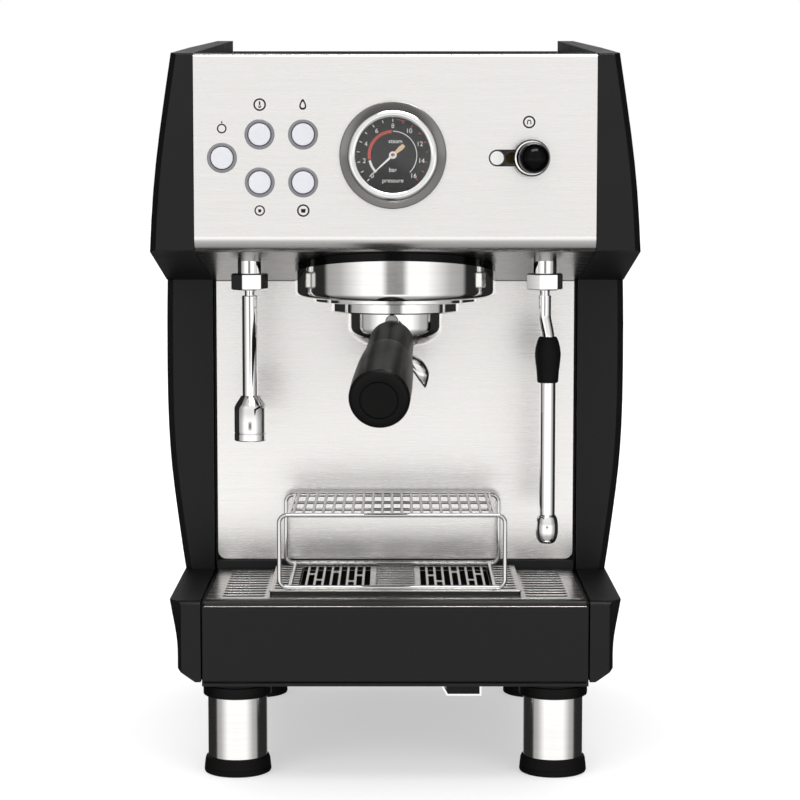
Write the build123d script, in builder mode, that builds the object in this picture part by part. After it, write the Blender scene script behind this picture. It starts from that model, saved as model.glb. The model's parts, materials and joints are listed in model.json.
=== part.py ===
"""Domestic espresso machine: a C-shaped body on four legs, with a group and
portafilter under the head, a hot-water wand, a steam wand and a drip tray.

Millimetres, +Z up, front towards -Y. The origin is on the floor, under the
middle of the machine's outer box.
"""

import os
from math import atan2, cos, degrees, radians, sin, tan

from build123d import *

os.makedirs("parts", exist_ok=True)

# ---------------------------------------------------------------- dimensions

SHEET = 1.5                  # stainless sheet thickness
GAP = 0.3                    # clearance between pieces that must not touch

# body envelope
INNER_HALF = 125.0           # inner faces of the two side panels
PANEL_HALF = INNER_HALF - GAP
HEAD_FRONT_Y = -150.0
BASE_FRONT_Y = -124.0
COLUMN_FRONT_Y = 0.0
SPLASH_Y = 6.0               # front face of the backsplash
REAR_Y = 225.0
TOP_FRONT_Z = 465.4
TOP_REAR_Z = 492.5
SIDE_BOTTOM_Z = 66.0
BASE_Z = 62.0                # underside of the base pan
CHEEK_TOP_Z = 119.0

# underside of the head: a plane that falls towards the back
CHIN_FRONT_Z = 344.0
CHIN_REAR_Z = 318.0
CHIN_ANGLE = degrees(atan2(CHIN_FRONT_Z - CHIN_REAR_Z, SPLASH_Y - HEAD_FRONT_Y))

# group and portafilter
GROUP_Y = -72.0
COVER_R = 66.0
COVER_BOTTOM_Z = 311.5
COLLAR_R = 42.2
COLLAR_BOTTOM_Z = 301.8
FILTER_R = 31.2              # portafilter cup, a 58 mm filter with its wall
HANDLE_DROP = 12.0           # degrees below level
HANDLE_YAW = 3.7             # degrees towards the left
HANDLE_AXIS_Z = 289.6        # where the handle's axis meets the group's axis
HANDLE_END = 154.5           # distance from the group's axis to the end of the handle

# wands
WAND_Y = -92.0
HOT_WATER_X = -94.0
STEAM_X = 96.5
STEAM_LOWER_X = 98.7         # the steam tube steps outwards below its bend
NUT_BOTTOM_Z = 316.6
NUT_TOP_Z = 327.5
NUT_CORNER_R = 12.05
BALL_R = 6.3
BALL_Z = 322.6
NECK_R = 3.2

# controls on the front panel
BUTTON_CAP_R = 6.85
BUTTON_RING_R = 9.3
BUTTON_TRAVEL = 1.5
BUTTONS = {
    "power_button": (-107.2, 401.2),
    "temperature_button": (-83.9, 415.6),
    "hot_water_button": (-57.0, 415.6),
    "single_cup_button": (-83.9, 386.1),
    "double_cup_button": (-57.0, 386.1),
}
GAUGE_X, GAUGE_Z = -1.5, 402.8
GAUGE_R = 33.0
LEVER_X, LEVER_Z = 83.8, 401.1
LEVER_PIVOT_Y = -110.0
LEVER_BALL_Y = -175.0
LEVER_BALL_R = 10.7
SLOT_LEFT_X = 57.8
SLOT_HEIGHT = 10.4

# drip tray, grate and cup rack
TRAY_FRONT_Y = -122.0
TRAY_REAR_Y = -1.0
TRAY_HALF = 122.4
TRAY_BOTTOM_Z = 85.0
TRAY_TOP_Z = 117.4
TRAY_WALL = 1.2
PLATE_TOP_Z = 122.2
RACK_X = -2.1
RACK_HALF = 73.2
RACK_FRONT_Y, RACK_REAR_Y = -102.0, -4.0
RACK_BOTTOM_Z = PLATE_TOP_Z + 1.7
RACK_TOP_Z = 171.2
RACK_WIRE_R = 1.4
GRID_WIRE_R = 1.0

# legs
LEG_X = 103.6
LEG_FRONT_Y, LEG_REAR_Y = -90.0, 148.0
LEG_TUBE_R = 19.4
FOOT_HEIGHT = 11.0
COLLAR_LOW_Z = 51.5

# water tank
TANK_HALF = 105.0
TANK_FRONT_Y, TANK_REAR_Y = 66.0, 208.0
TANK_BOTTOM_Z, TANK_TOP_Z = 150.0, 461.5
TANK_WALL = 2.5


def chin_z(y):
    """Height of the head's underside at depth y."""
    return CHIN_FRONT_Z - (y - HEAD_FRONT_Y) * tan(radians(CHIN_ANGLE))


def chin_plane(below=0.0):
    """The head's underside as a plane whose normal points up, moved down along it."""
    slope = radians(CHIN_ANGLE)
    normal = Vector(0, sin(slope), cos(slope))
    start = Vector(0, HEAD_FRONT_Y, CHIN_FRONT_Z) - normal * below
    return Plane(origin=start, x_dir=(1, 0, 0), z_dir=normal)


def save(builder, label):
    """Label a finished piece and write it."""
    builder.part.label = label
    export_step(builder.part, f"parts/{label}.step")


# -------------------------------------------------------------- side panels
# Outline seen from the front: outer half width against height. The head section
# is a little narrower at its front edge than the column behind it.

SIDE_PROFILE = [
    (140.3, 84.0), (143.6, 110.0), (149.4, 149.4), (154.6, 194.0), (156.8, 262.0),
    (156.0, 325.0), (151.6, 394.0), (143.5, 452.0), (136.0, 497.0),
]


def side_section(y, narrower=0.0, front_limit=None):
    """The panel's full-height section at depth y, as a face."""
    points = []
    for x, z in SIDE_PROFILE:
        outer = x - narrower
        points.append((min(outer, front_limit) if front_limit else outer, z))
    low_x = points[0][0]
    with BuildSketch(Plane.XZ.offset(-y)) as section:
        with BuildLine():
            outer_curve = Spline(*points, tangents=[(0, 1), (-0.19, 1)])
            Polyline(
                outer_curve @ 1,
                (INNER_HALF, points[-1][1]),
                (INNER_HALF, SIDE_BOTTOM_Z),
                (low_x - 8.8, SIDE_BOTTOM_Z),
                (low_x - 1.8, SIDE_BOTTOM_Z + 5.0),
                (low_x, SIDE_BOTTOM_Z + 8.0),
                outer_curve @ 0,
            )
        make_face()
    return section.sketch.face()


def side_block(sections, outline, edge_radius):
    """Loft the sections front to back and keep what is inside the side outline."""
    with BuildPart() as block:
        for section in sections:
            add(section)
        loft(ruled=True)
        with BuildSketch(Plane.YZ.offset(INNER_HALF)):
            with BuildLine():
                Polyline(*outline, close=True)
            make_face()
            corner = vertices().sort_by(Axis.X)[:2].sort_by(Axis.Y)[-1 if edge_radius > 0 else 0]
            fillet(corner, abs(edge_radius))
        extrude(amount=40, mode=Mode.INTERSECT)
    return block.part


head_block = side_block(
    [
        side_section(HEAD_FRONT_Y, 6.4),
        side_section(HEAD_FRONT_Y + 6, 2.4),
        side_section(COLUMN_FRONT_Y),
        side_section(REAR_Y),
    ],
    [
        (HEAD_FRONT_Y, TOP_FRONT_Z),
        (REAR_Y, TOP_REAR_Z),
        (REAR_Y, CHIN_REAR_Z),
        (COLUMN_FRONT_Y, chin_z(COLUMN_FRONT_Y)),
        (HEAD_FRONT_Y, CHIN_FRONT_Z),
    ],
    1.2,
)
column_block = side_block(
    [
        side_section(COLUMN_FRONT_Y, 4.4),
        side_section(COLUMN_FRONT_Y + 5),
        side_section(REAR_Y),
    ],
    [
        (COLUMN_FRONT_Y, chin_z(COLUMN_FRONT_Y) + 2),
        (REAR_Y, chin_z(COLUMN_FRONT_Y) + 2),
        (REAR_Y, CHEEK_TOP_Z - 2),
        (COLUMN_FRONT_Y, CHEEK_TOP_Z - 2),
    ],
    -0.6,
)
base_block = side_block(
    [
        side_section(BASE_FRONT_Y, 0.0, 137.4),
        side_section(BASE_FRONT_Y + 7),
        side_section(REAR_Y),
    ],
    [
        (BASE_FRONT_Y, CHEEK_TOP_Z),
        (REAR_Y, CHEEK_TOP_Z),
        (REAR_Y, SIDE_BOTTOM_Z),
        (BASE_FRONT_Y, SIDE_BOTTOM_Z),
    ],
    4.0,
)

with BuildPart() as side_panel_right:
    add(head_block)
    add(column_block)
    add(base_block)
    # the moulding is hollow behind its skin, open towards the frame
    with BuildSketch(Plane.YZ.offset(INNER_HALF)):
        with BuildLine():
            Polyline(
                (HEAD_FRONT_Y + 14, CHIN_FRONT_Z + 6),
                (COLUMN_FRONT_Y + 14, chin_z(COLUMN_FRONT_Y) + 6),
                (COLUMN_FRONT_Y + 14, CHEEK_TOP_Z + 8),
                (REAR_Y - 8, CHEEK_TOP_Z + 8),
                (REAR_Y - 8, TOP_FRONT_Z + 8),
                (HEAD_FRONT_Y + 14, TOP_FRONT_Z - 14),
                close=True,
            )
        make_face()
    extrude(amount=132.0 - INNER_HALF, mode=Mode.SUBTRACT)
    with BuildSketch(Plane.YZ.offset(INNER_HALF)):
        with Locations(((COLUMN_FRONT_Y + REAR_Y) / 2 + 4, 228)):
            Rectangle(REAR_Y - 26, 150)
    extrude(amount=150.0 - INNER_HALF, mode=Mode.SUBTRACT)
    with BuildSketch(Plane.YZ.offset(INNER_HALF)):
        with Locations(((BASE_FRONT_Y + REAR_Y) / 2, 90)):
            Rectangle(REAR_Y - BASE_FRONT_Y - 34, 28)
    extrude(amount=134.0 - INNER_HALF, mode=Mode.SUBTRACT)
save(side_panel_right, "side_panel_right")

with BuildPart() as side_panel_left:
    add(side_panel_right.part)
    mirror(about=Plane.YZ, mode=Mode.REPLACE)
save(side_panel_left, "side_panel_left")

# ------------------------------------------------------------------- panels

CHIN_BEND_R = 10.0
TOP_BEND_R = 2.5
TOP_FLANGE_Y = HEAD_FRONT_Y + 10.0
STEM_R = 5.4

with BuildPart() as front_panel:
    with BuildSketch(Plane.YZ.offset(-PANEL_HALF)):
        with BuildLine():
            FilletPolyline(
                (TOP_FLANGE_Y, TOP_FRONT_Z),
                (HEAD_FRONT_Y, TOP_FRONT_Z),
                (HEAD_FRONT_Y, CHIN_FRONT_Z),
                (SPLASH_Y - GAP, chin_z(SPLASH_Y - GAP)),
                radius=[TOP_BEND_R, CHIN_BEND_R],
            )
            offset(amount=SHEET, side=Side.LEFT)
        make_face()
    extrude(amount=2 * PANEL_HALF)
    front_face = Plane.XZ.offset(-HEAD_FRONT_Y + 1)
    with BuildSketch(front_face):
        with Locations(*BUTTONS.values()):
            Circle(BUTTON_RING_R - 0.5)
        with Locations((GAUGE_X, GAUGE_Z)):
            Circle(30.0)
        with Locations(((SLOT_LEFT_X + LEVER_X + SLOT_HEIGHT / 2) / 2, LEVER_Z)):
            SlotOverall(LEVER_X + SLOT_HEIGHT / 2 - SLOT_LEFT_X, SLOT_HEIGHT)
    extrude(amount=-6, mode=Mode.SUBTRACT)
    with BuildSketch(Plane.XY.offset(CHIN_REAR_Z)):
        with Locations((0, GROUP_Y)):
            Circle(45.0)
        with Locations((HOT_WATER_X, WAND_Y), (STEAM_X, WAND_Y)):
            Circle(STEM_R + GAP)
    extrude(amount=40, mode=Mode.SUBTRACT)
save(front_panel, "front_panel")

SPLASH_HALF = 122.8
SPLASH_BOTTOM_Z = 125.0

with BuildPart() as backsplash:
    with BuildSketch(Plane.XZ.offset(-SPLASH_Y - SHEET)):
        with BuildLine():
            Polyline(
                (-SPLASH_HALF, CHIN_REAR_Z - GAP),
                (SPLASH_HALF, CHIN_REAR_Z - GAP),
                (SPLASH_HALF, SPLASH_BOTTOM_Z),
                (-SPLASH_HALF, SPLASH_BOTTOM_Z),
                close=True,
            )
        make_face()
        fillet(vertices().group_by(Axis.Y)[0], 6)
    extrude(amount=SHEET)
save(backsplash, "backsplash")

LID_OPENING_HALF = 112.0
LID_FRONT_Y, LID_REAR_Y = 60.0, 214.8

with BuildPart() as top_cover:
    with BuildSketch(Plane.XY.offset(TOP_FRONT_Z - SHEET)):
        with BuildLine():
            Polyline(
                (-PANEL_HALF, TOP_FLANGE_Y + GAP),
                (PANEL_HALF, TOP_FLANGE_Y + GAP),
                (PANEL_HALF, REAR_Y - 4),
                (-PANEL_HALF, REAR_Y - 4),
                close=True,
            )
        make_face()
        with Locations((0, (LID_FRONT_Y + LID_REAR_Y) / 2)):
            RectangleRounded(
                2 * LID_OPENING_HALF, LID_REAR_Y - LID_FRONT_Y, 6, mode=Mode.SUBTRACT
            )
    extrude(amount=SHEET)
save(top_cover, "top_cover")

REAR_PANEL_Y = REAR_Y - 2.0
INLET_X, INLET_Z = 72.0, 112.0
INLET_WIDTH, INLET_HEIGHT = 30.0, 58.0

with BuildPart() as rear_panel:
    with BuildSketch(Plane.XZ.offset(-REAR_PANEL_Y)):
        with Locations((0, (BASE_Z + 3 + TOP_REAR_Z - 8) / 2)):
            Rectangle(2 * PANEL_HALF, TOP_REAR_Z - 8 - BASE_Z - 3)
        with Locations((INLET_X, INLET_Z)):
            RectangleRounded(
                INLET_WIDTH + 2 * GAP, INLET_HEIGHT + 2 * GAP, 2, mode=Mode.SUBTRACT
            )
    extrude(amount=SHEET)
    # cooling slots
    with BuildSketch(Plane.XZ.offset(-REAR_PANEL_Y - 2)):
        with Locations((-40, INLET_Z)):
            with GridLocations(0, 8, 1, 6):
                SlotOverall(60, 3)
    extrude(amount=8, mode=Mode.SUBTRACT)
save(rear_panel, "rear_panel")

# ------------------------------------------------------------ base and frame

BAY_WALL_X = 123.2
BAY_FLOOR_Z = TRAY_BOTTOM_Z - GAP
BAY_REAR_Y = 2.0
PAN_FRONT_Y = TRAY_FRONT_Y + 4.0

with BuildPart() as base_pan:
    with BuildSketch(Plane.XY.offset(BASE_Z)):
        with Locations((0, (PAN_FRONT_Y + REAR_PANEL_Y - 2) / 2)):
            Rectangle(2 * PANEL_HALF, REAR_PANEL_Y - 2 - PAN_FRONT_Y)
        with Locations((41, -66)):
            Circle(6.0, mode=Mode.SUBTRACT)
    extrude(amount=2.0)
    with BuildSketch(Plane.XY.offset(BASE_Z)):
        for side in (-1, 1):
            with Locations((side * (PANEL_HALF + BAY_WALL_X) / 2, (PAN_FRONT_Y + 219) / 2)):
                Rectangle(PANEL_HALF - BAY_WALL_X, 219 - PAN_FRONT_Y)
    extrude(amount=CHEEK_TOP_Z - 3 - BASE_Z)
    # shelf under the tray, and the wall behind it that closes the gap below the backsplash
    with BuildSketch(Plane.XY.offset(BAY_FLOOR_Z - SHEET)):
        with Locations((0, (PAN_FRONT_Y + BAY_REAR_Y) / 2)):
            Rectangle(2 * BAY_WALL_X, BAY_REAR_Y - PAN_FRONT_Y)
    extrude(amount=SHEET)
    with BuildSketch(Plane.XY.offset(BASE_Z)):
        with Locations((0, BAY_REAR_Y + SHEET / 2)):
            Rectangle(2 * BAY_WALL_X, SHEET)
    extrude(amount=SPLASH_BOTTOM_Z - GAP - BASE_Z)
save(base_pan, "base_pan")

FRAME_OUT_X = 124.6
FRAME_SHEET = 1.6

with BuildPart() as frame:
    with BuildSketch(Plane.YZ.offset(-FRAME_OUT_X)):
        with BuildLine():
            Polyline(
                (HEAD_FRONT_Y + 4, CHIN_FRONT_Z + 6),
                (SPLASH_Y + 3, chin_z(SPLASH_Y + 3) + 6),
                (SPLASH_Y + 3, CHEEK_TOP_Z),
                (REAR_PANEL_Y - 3, CHEEK_TOP_Z),
                (REAR_PANEL_Y - 3, TOP_FRONT_Z - 3),
                (HEAD_FRONT_Y + 4, TOP_FRONT_Z - 3),
                close=True,
            )
        make_face()
    extrude(amount=FRAME_SHEET)
    mirror(about=Plane.YZ)
    # shelf that carries the tank
    with BuildSketch(Plane.XY.offset(TANK_BOTTOM_Z - GAP - 2)):
        with Locations((0, (TANK_FRONT_Y + TANK_REAR_Y) / 2)):
            Rectangle(2 * FRAME_OUT_X, TANK_REAR_Y - TANK_FRONT_Y + 16)
    extrude(amount=2)
    # cross rails: top front, top middle, and behind the tray
    for y, z in ((HEAD_FRONT_Y + 14, 455), (56, 455), (14, 124)):
        with BuildSketch(Plane.YZ.offset(-FRAME_OUT_X)):
            with Locations((y, z)):
                Rectangle(6, 6)
        extrude(amount=2 * FRAME_OUT_X)
save(frame, "frame")

# --------------------------------------------------------------------- legs

leg_places = [(x, y) for x in (-LEG_X, LEG_X) for y in (LEG_FRONT_Y, LEG_REAR_Y)]

with BuildPart() as leg_feet:
    with BuildSketch(Plane.XY):
        with Locations(*leg_places):
            Circle(22.0)
    extrude(amount=FOOT_HEIGHT, taper=degrees(atan2(1.5, FOOT_HEIGHT)))
    fillet(edges().group_by(Axis.Z)[-1], 1.0)
save(leg_feet, "leg_feet")

with BuildPart() as leg_tubes:
    with BuildSketch(Plane.XY.offset(FOOT_HEIGHT)):
        with Locations(*leg_places):
            Circle(LEG_TUBE_R)
            Circle(LEG_TUBE_R - 2, mode=Mode.SUBTRACT)
    extrude(amount=COLLAR_LOW_Z - FOOT_HEIGHT)
save(leg_tubes, "leg_tubes")

with BuildPart() as leg_collars:
    with BuildSketch(Plane.XY.offset(COLLAR_LOW_Z)):
        with Locations(*leg_places):
            Circle(22.4)
    extrude(amount=BASE_Z - COLLAR_LOW_Z)
    fillet(edges().group_by(Axis.Z)[0], 2.0)
save(leg_collars, "leg_collars")

DRAIN_Y = -66.0

with BuildPart() as drain_chute:
    # folded sheet that carries the overflow out under the base
    with BuildSketch(Plane.XZ.offset(-DRAIN_Y - 14)):
        with BuildLine():
            Polyline(
                (26, BASE_Z), (34, 47.5), (57, 47.5), (57, BASE_Z),
                (55.8, BASE_Z), (55.8, 48.7), (34.7, 48.7), (27.4, BASE_Z),
                close=True,
            )
        make_face()
    extrude(amount=28)
save(drain_chute, "drain_chute")

# -------------------------------------------------------------------- group

SPACER_THICKNESS = 5.0

with BuildPart() as group_spacer:
    with BuildSketch(Plane.XY.offset(COVER_BOTTOM_Z)):
        with Locations((0, GROUP_Y)):
            Circle(COVER_R - 0.6)
            Circle(50.0, mode=Mode.SUBTRACT)
    extrude(amount=40)
    split(bisect_by=chin_plane(), keep=Keep.BOTTOM)
    split(bisect_by=chin_plane(below=SPACER_THICKNESS), keep=Keep.TOP)
save(group_spacer, "group_spacer")

COVER_WALL = 2.0
COVER_HOLE_R = 43.0

with BuildPart() as group_cover:
    with BuildSketch(Plane.XY.offset(COVER_BOTTOM_Z)):
        with Locations((0, GROUP_Y)):
            Circle(COVER_R)
    extrude(amount=40)
    split(bisect_by=chin_plane(below=SPACER_THICKNESS), keep=Keep.BOTTOM)
    fillet(edges().group_by(Axis.Z)[0], 3.0)
    with BuildSketch(Plane.XY.offset(COVER_BOTTOM_Z + COVER_WALL)):
        with Locations((0, GROUP_Y)):
            Circle(COVER_R - COVER_WALL)
    extrude(amount=40, mode=Mode.SUBTRACT)
    with BuildSketch(Plane.XY.offset(COVER_BOTTOM_Z - 1)):
        with Locations((0, GROUP_Y)):
            Circle(COVER_HOLE_R)
    extrude(amount=10, mode=Mode.SUBTRACT)
save(group_cover, "group_cover")

group_axis = Axis((0, GROUP_Y, 0), (0, 0, 1))
group_section = Plane(origin=(0, GROUP_Y, 0), x_dir=(1, 0, 0), z_dir=(0, -1, 0))
LIP_R = FILTER_R + 0.5
GROOVE_R = 38.0
LIP_TOP_Z = COLLAR_BOTTOM_Z + 1.6
GROOVE_TOP_Z = 309.4
GASKET_OUT_R, GASKET_IN_R = 35.0, 28.2
GASKET_TOP_Z = 317.0
HEAD_TOP_Z = 352.0
LUG_WIDTH = 15.0
UNLOCK_TURN = 40.0

with BuildPart() as group_head:
    with BuildSketch(group_section):
        with BuildLine():
            Polyline(
                (LIP_R, COLLAR_BOTTOM_Z),
                (COLLAR_R, COLLAR_BOTTOM_Z),
                (COLLAR_R, COVER_BOTTOM_Z - 3.0),
                (54.0, COVER_BOTTOM_Z - 3.0),
                (54.0, COVER_BOTTOM_Z - GAP),
                (40.0, COVER_BOTTOM_Z - GAP),
                (40.0, 326.0),
                (30.0, 326.0),
                (30.0, HEAD_TOP_Z),
                (4.0, HEAD_TOP_Z),
                (4.0, 312.0),
                (GASKET_IN_R, 312.0),
                (GASKET_IN_R, GASKET_TOP_Z),
                (GASKET_OUT_R, GASKET_TOP_Z),
                (GASKET_OUT_R, GROOVE_TOP_Z),
                (GROOVE_R, GROOVE_TOP_Z),
                (GROOVE_R, LIP_TOP_Z),
                (LIP_R, LIP_TOP_Z),
                close=True,
            )
        make_face()
    revolve(axis=group_axis)
    # two entry notches in the lip, where the lugs come in when the handle is unlocked
    with BuildSketch(Plane.XY.offset(COLLAR_BOTTOM_Z - 1)):
        with Locations(Location((0, GROUP_Y, 0), (0, 0, -HANDLE_YAW - UNLOCK_TURN))):
            Rectangle(2 * GROOVE_R - 0.4, LUG_WIDTH + 3)
    extrude(amount=LIP_TOP_Z - COLLAR_BOTTOM_Z + 1, mode=Mode.SUBTRACT)
save(group_head, "group_head")

with BuildPart() as group_gasket:
    with BuildSketch(Plane.XY.offset(GROOVE_TOP_Z + 0.2)):
        with Locations((0, GROUP_Y)):
            Circle(GASKET_OUT_R - 0.2)
            Circle(GASKET_IN_R + 0.2, mode=Mode.SUBTRACT)
    extrude(amount=GASKET_TOP_Z - GROOVE_TOP_Z - 0.2)
save(group_gasket, "group_gasket")

with BuildPart() as shower_screen:
    with BuildSketch(Plane.XY.offset(310.6)):
        with Locations((0, GROUP_Y)):
            Circle(27.6)
            for ring_r, ring_count in ((8, 8), (14, 14), (20, 20), (25, 26)):
                with PolarLocations(ring_r, ring_count):
                    Circle(0.9, mode=Mode.SUBTRACT)
    extrude(amount=1.4)
    with BuildSketch(Plane.XY.offset(309.6)):
        with Locations((0, GROUP_Y)):
            Circle(4.0)
    extrude(amount=1.2)
save(shower_screen, "shower_screen")

# -------------------------------------------------------------- portafilter

CUP_BOTTOM_Z = 280.0
CUP_TOP_Z = 308.0
CUP_WALL = 1.8
SPOUT_HOLE_R = 4.0

yaw, drop = radians(HANDLE_YAW), radians(HANDLE_DROP)
handle_dir = Vector(-sin(yaw) * cos(drop), -cos(yaw) * cos(drop), -sin(drop))
handle_side = Vector(cos(yaw), -sin(yaw), 0)
handle_start = Vector(0, GROUP_Y, HANDLE_AXIS_Z)
handle_axis = Axis(handle_start, handle_dir)
# section plane: local x runs out along the handle, local y points to the handle's right
handle_section = Plane(
    origin=handle_start, x_dir=handle_dir, z_dir=handle_dir.cross(handle_side)
)

with BuildPart() as portafilter_body:
    with BuildSketch(group_section):
        with BuildLine():
            outer = FilletPolyline(
                (SPOUT_HOLE_R, CUP_BOTTOM_Z),
                (21.0, CUP_BOTTOM_Z),
                (FILTER_R, CUP_BOTTOM_Z + 8.5),
                (FILTER_R, CUP_TOP_Z),
                radius=[9, 7],
            )
            Polyline(
                outer @ 1,
                (FILTER_R - CUP_WALL, CUP_TOP_Z),
                (FILTER_R - CUP_WALL, CUP_BOTTOM_Z + 8),
                (21.0, CUP_BOTTOM_Z + 3.5),
                (SPOUT_HOLE_R, CUP_BOTTOM_Z + 2.5),
                outer @ 0,
            )
        make_face()
    revolve(axis=group_axis)
    # bayonet lugs, square to the handle
    with BuildSketch(Plane.XY.offset(LIP_TOP_Z + GAP)):
        with Locations(Location((0, GROUP_Y, 0), (0, 0, -HANDLE_YAW))):
            Rectangle(2 * GROOVE_R, LUG_WIDTH)
        with Locations((0, GROUP_Y)):
            Circle(GROOVE_R - 0.5, mode=Mode.INTERSECT)
            Circle(FILTER_R - CUP_WALL / 2, mode=Mode.SUBTRACT)
    extrude(amount=4.0)
    # boss that takes the handle
    with BuildSketch(Plane(origin=handle_start + handle_dir * 29.6, z_dir=handle_dir)):
        Circle(7.5)
    extrude(amount=4.0)
save(portafilter_body, "portafilter_body")

BASKET_R = FILTER_R - CUP_WALL - 0.3
BASKET_BOTTOM_Z = 288.6

with BuildPart() as filter_basket:
    with BuildSketch(group_section):
        with BuildLine():
            Polyline(
                (0, BASKET_BOTTOM_Z), (BASKET_R - 2.5, BASKET_BOTTOM_Z), (BASKET_R, 291.0),
                (BASKET_R, CUP_TOP_Z), (30.8, CUP_TOP_Z), (30.8, CUP_TOP_Z + 0.8),
                (BASKET_R - 0.7, CUP_TOP_Z + 0.8), (BASKET_R - 0.7, 291.2),
                (BASKET_R - 2.8, 289.3), (0, 289.3), close=True,
            )
        make_face()
    revolve(axis=group_axis)
save(filter_basket, "filter_basket")

FERRULE_START, FERRULE_END = 33.6, 40.0

with BuildPart() as handle_ferrule:
    with BuildSketch(handle_section):
        with BuildLine():
            Polyline(
                (FERRULE_START, 0), (FERRULE_START, 8.6), (FERRULE_START + 1.4, 9.6),
                (FERRULE_END - 1.4, 9.6), (FERRULE_END, 8.8), (FERRULE_END, 0), close=True,
            )
        make_face()
    revolve(axis=handle_axis)
save(handle_ferrule, "handle_ferrule")

HANDLE_END_R = 17.2
GROOVE_IN_R, GROOVE_OUT_R = 11.0, 11.8

with BuildPart() as portafilter_handle:
    with BuildSketch(handle_section):
        with BuildLine():
            front_round = Spline(
                (FERRULE_END, 9.5), (FERRULE_END + 3.0, 12.0), (FERRULE_END + 10, 12.7),
                tangents=[(0.2, 1), (1, 0)],
            )
            waist = Line(front_round @ 1, (82.0, 13.4))
            flare = Spline(
                waist @ 1, (84.0, 14.2), (110.0, 16.4), (HANDLE_END - 4, 17.6),
                tangents=[(1, 0.2), (1, 0.01)],
            )
            nose = Spline(
                flare @ 1, (HANDLE_END - 0.9, 16.7), (HANDLE_END, 14.6),
                tangents=[(1, 0), (0, -1)],
            )
            Polyline(
                nose @ 1,
                (HANDLE_END, GROOVE_OUT_R),
                (HANDLE_END - 0.8, GROOVE_OUT_R),
                (HANDLE_END - 0.8, GROOVE_IN_R),
                (HANDLE_END, GROOVE_IN_R),
                (HANDLE_END, 0),
                (FERRULE_END, 0),
                front_round @ 0,
            )
        make_face()
    revolve(axis=handle_axis)
save(portafilter_handle, "portafilter_handle")

NUT_LOW_Z = 272.0
spout_frame = Plane(
    origin=(0, GROUP_Y, 0), x_dir=handle_side, z_dir=handle_side.cross(Vector(0, 0, 1))
)

with BuildPart() as spout_nut:
    with BuildSketch(Plane.XY.offset(NUT_LOW_Z)):
        with Locations((0, GROUP_Y)):
            RegularPolygon(9.0, 6)
            Circle(SPOUT_HOLE_R, mode=Mode.SUBTRACT)
    extrude(amount=CUP_BOTTOM_Z - NUT_LOW_Z)
save(spout_nut, "spout_nut")

SPOUT_TIP_X, SPOUT_TIP_Z = 18.6, 251.8
SPOUT_R = 5.0

with BuildPart() as twin_spout:
    with BuildSketch(Plane.XY.offset(NUT_LOW_Z - 9)):
        with Locations((0, GROUP_Y)):
            Circle(7.5)
    extrude(amount=9)
    for side in (-1, 1):
        with BuildLine(spout_frame) as branch:
            FilletPolyline(
                (0, NUT_LOW_Z - 5),
                (side * (SPOUT_TIP_X - 2), NUT_LOW_Z - 10),
                (side * SPOUT_TIP_X, SPOUT_TIP_Z),
                radius=7,
            )
        with BuildSketch(Plane(origin=branch.line @ 0, z_dir=branch.line % 0)):
            Circle(SPOUT_R)
        sweep(path=branch.line)
    with BuildSketch(Plane.XY.offset(SPOUT_TIP_Z - 2)):
        for side in (-1, 1):
            tip = Vector(0, GROUP_Y, 0) + handle_side * side * SPOUT_TIP_X
            with Locations(tip):
                Circle(SPOUT_R - 1.3)
    extrude(amount=12, mode=Mode.SUBTRACT)
save(twin_spout, "twin_spout")

# ------------------------------------------------------------ wand fittings


def wand_fitting(x):
    """Hex nut and its stem, hollow for the ball of a wand and its seat ring."""
    with BuildPart() as fitting:
        with BuildSketch(Plane.XY.offset(NUT_BOTTOM_Z)):
            with Locations((x, WAND_Y)):
                RegularPolygon(NUT_CORNER_R, 6)
        extrude(amount=NUT_TOP_Z - NUT_BOTTOM_Z)
        with BuildSketch(Plane.XY.offset(NUT_BOTTOM_Z)):
            with Locations((x, WAND_Y)):
                Circle(NUT_CORNER_R * 0.965)
        extrude(amount=NUT_TOP_Z - NUT_BOTTOM_Z, mode=Mode.INTERSECT)
        with BuildSketch(Plane.XY.offset(NUT_TOP_Z)):
            with Locations((x, WAND_Y)):
                Circle(STEM_R)
        extrude(amount=22)
        with Locations((x, WAND_Y, BALL_Z)):
            Sphere(BALL_R + GAP, mode=Mode.SUBTRACT)
        with BuildSketch(Plane.XY.offset(NUT_BOTTOM_Z - 1)):
            with Locations((x, WAND_Y)):
                Circle(NECK_R + 1.9)
        extrude(amount=6, mode=Mode.SUBTRACT)
        with BuildSketch(Plane.XY.offset(BALL_Z)):
            with Locations((x, WAND_Y)):
                Circle(4.2)
        extrude(amount=8.6, mode=Mode.SUBTRACT)
        with BuildSketch(Plane.XY.offset(BALL_Z)):
            with Locations((x, WAND_Y)):
                Circle(1.6)
        extrude(amount=40, mode=Mode.SUBTRACT)
    return fitting


def ball_seat(x):
    """Seal ring that turns with the ball."""
    with BuildPart() as seat:
        with BuildSketch(Plane.XY.offset(BALL_Z + BALL_R + GAP)):
            with Locations((x, WAND_Y)):
                Circle(3.9)
                Circle(1.8, mode=Mode.SUBTRACT)
        extrude(amount=1.6)
    return seat


hot_water_nut = wand_fitting(HOT_WATER_X)
save(hot_water_nut, "hot_water_nut")
hot_water_seat = ball_seat(HOT_WATER_X)
save(hot_water_seat, "hot_water_seat")
steam_nut = wand_fitting(STEAM_X)
save(steam_nut, "steam_nut")
steam_seat = ball_seat(STEAM_X)
save(steam_seat, "steam_seat")

TUBE_TOP_Z = NUT_BOTTOM_Z - 1.8
NOZZLE_TOP_Z = 248.3
NOZZLE_BOTTOM_Z = 218.9

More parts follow.
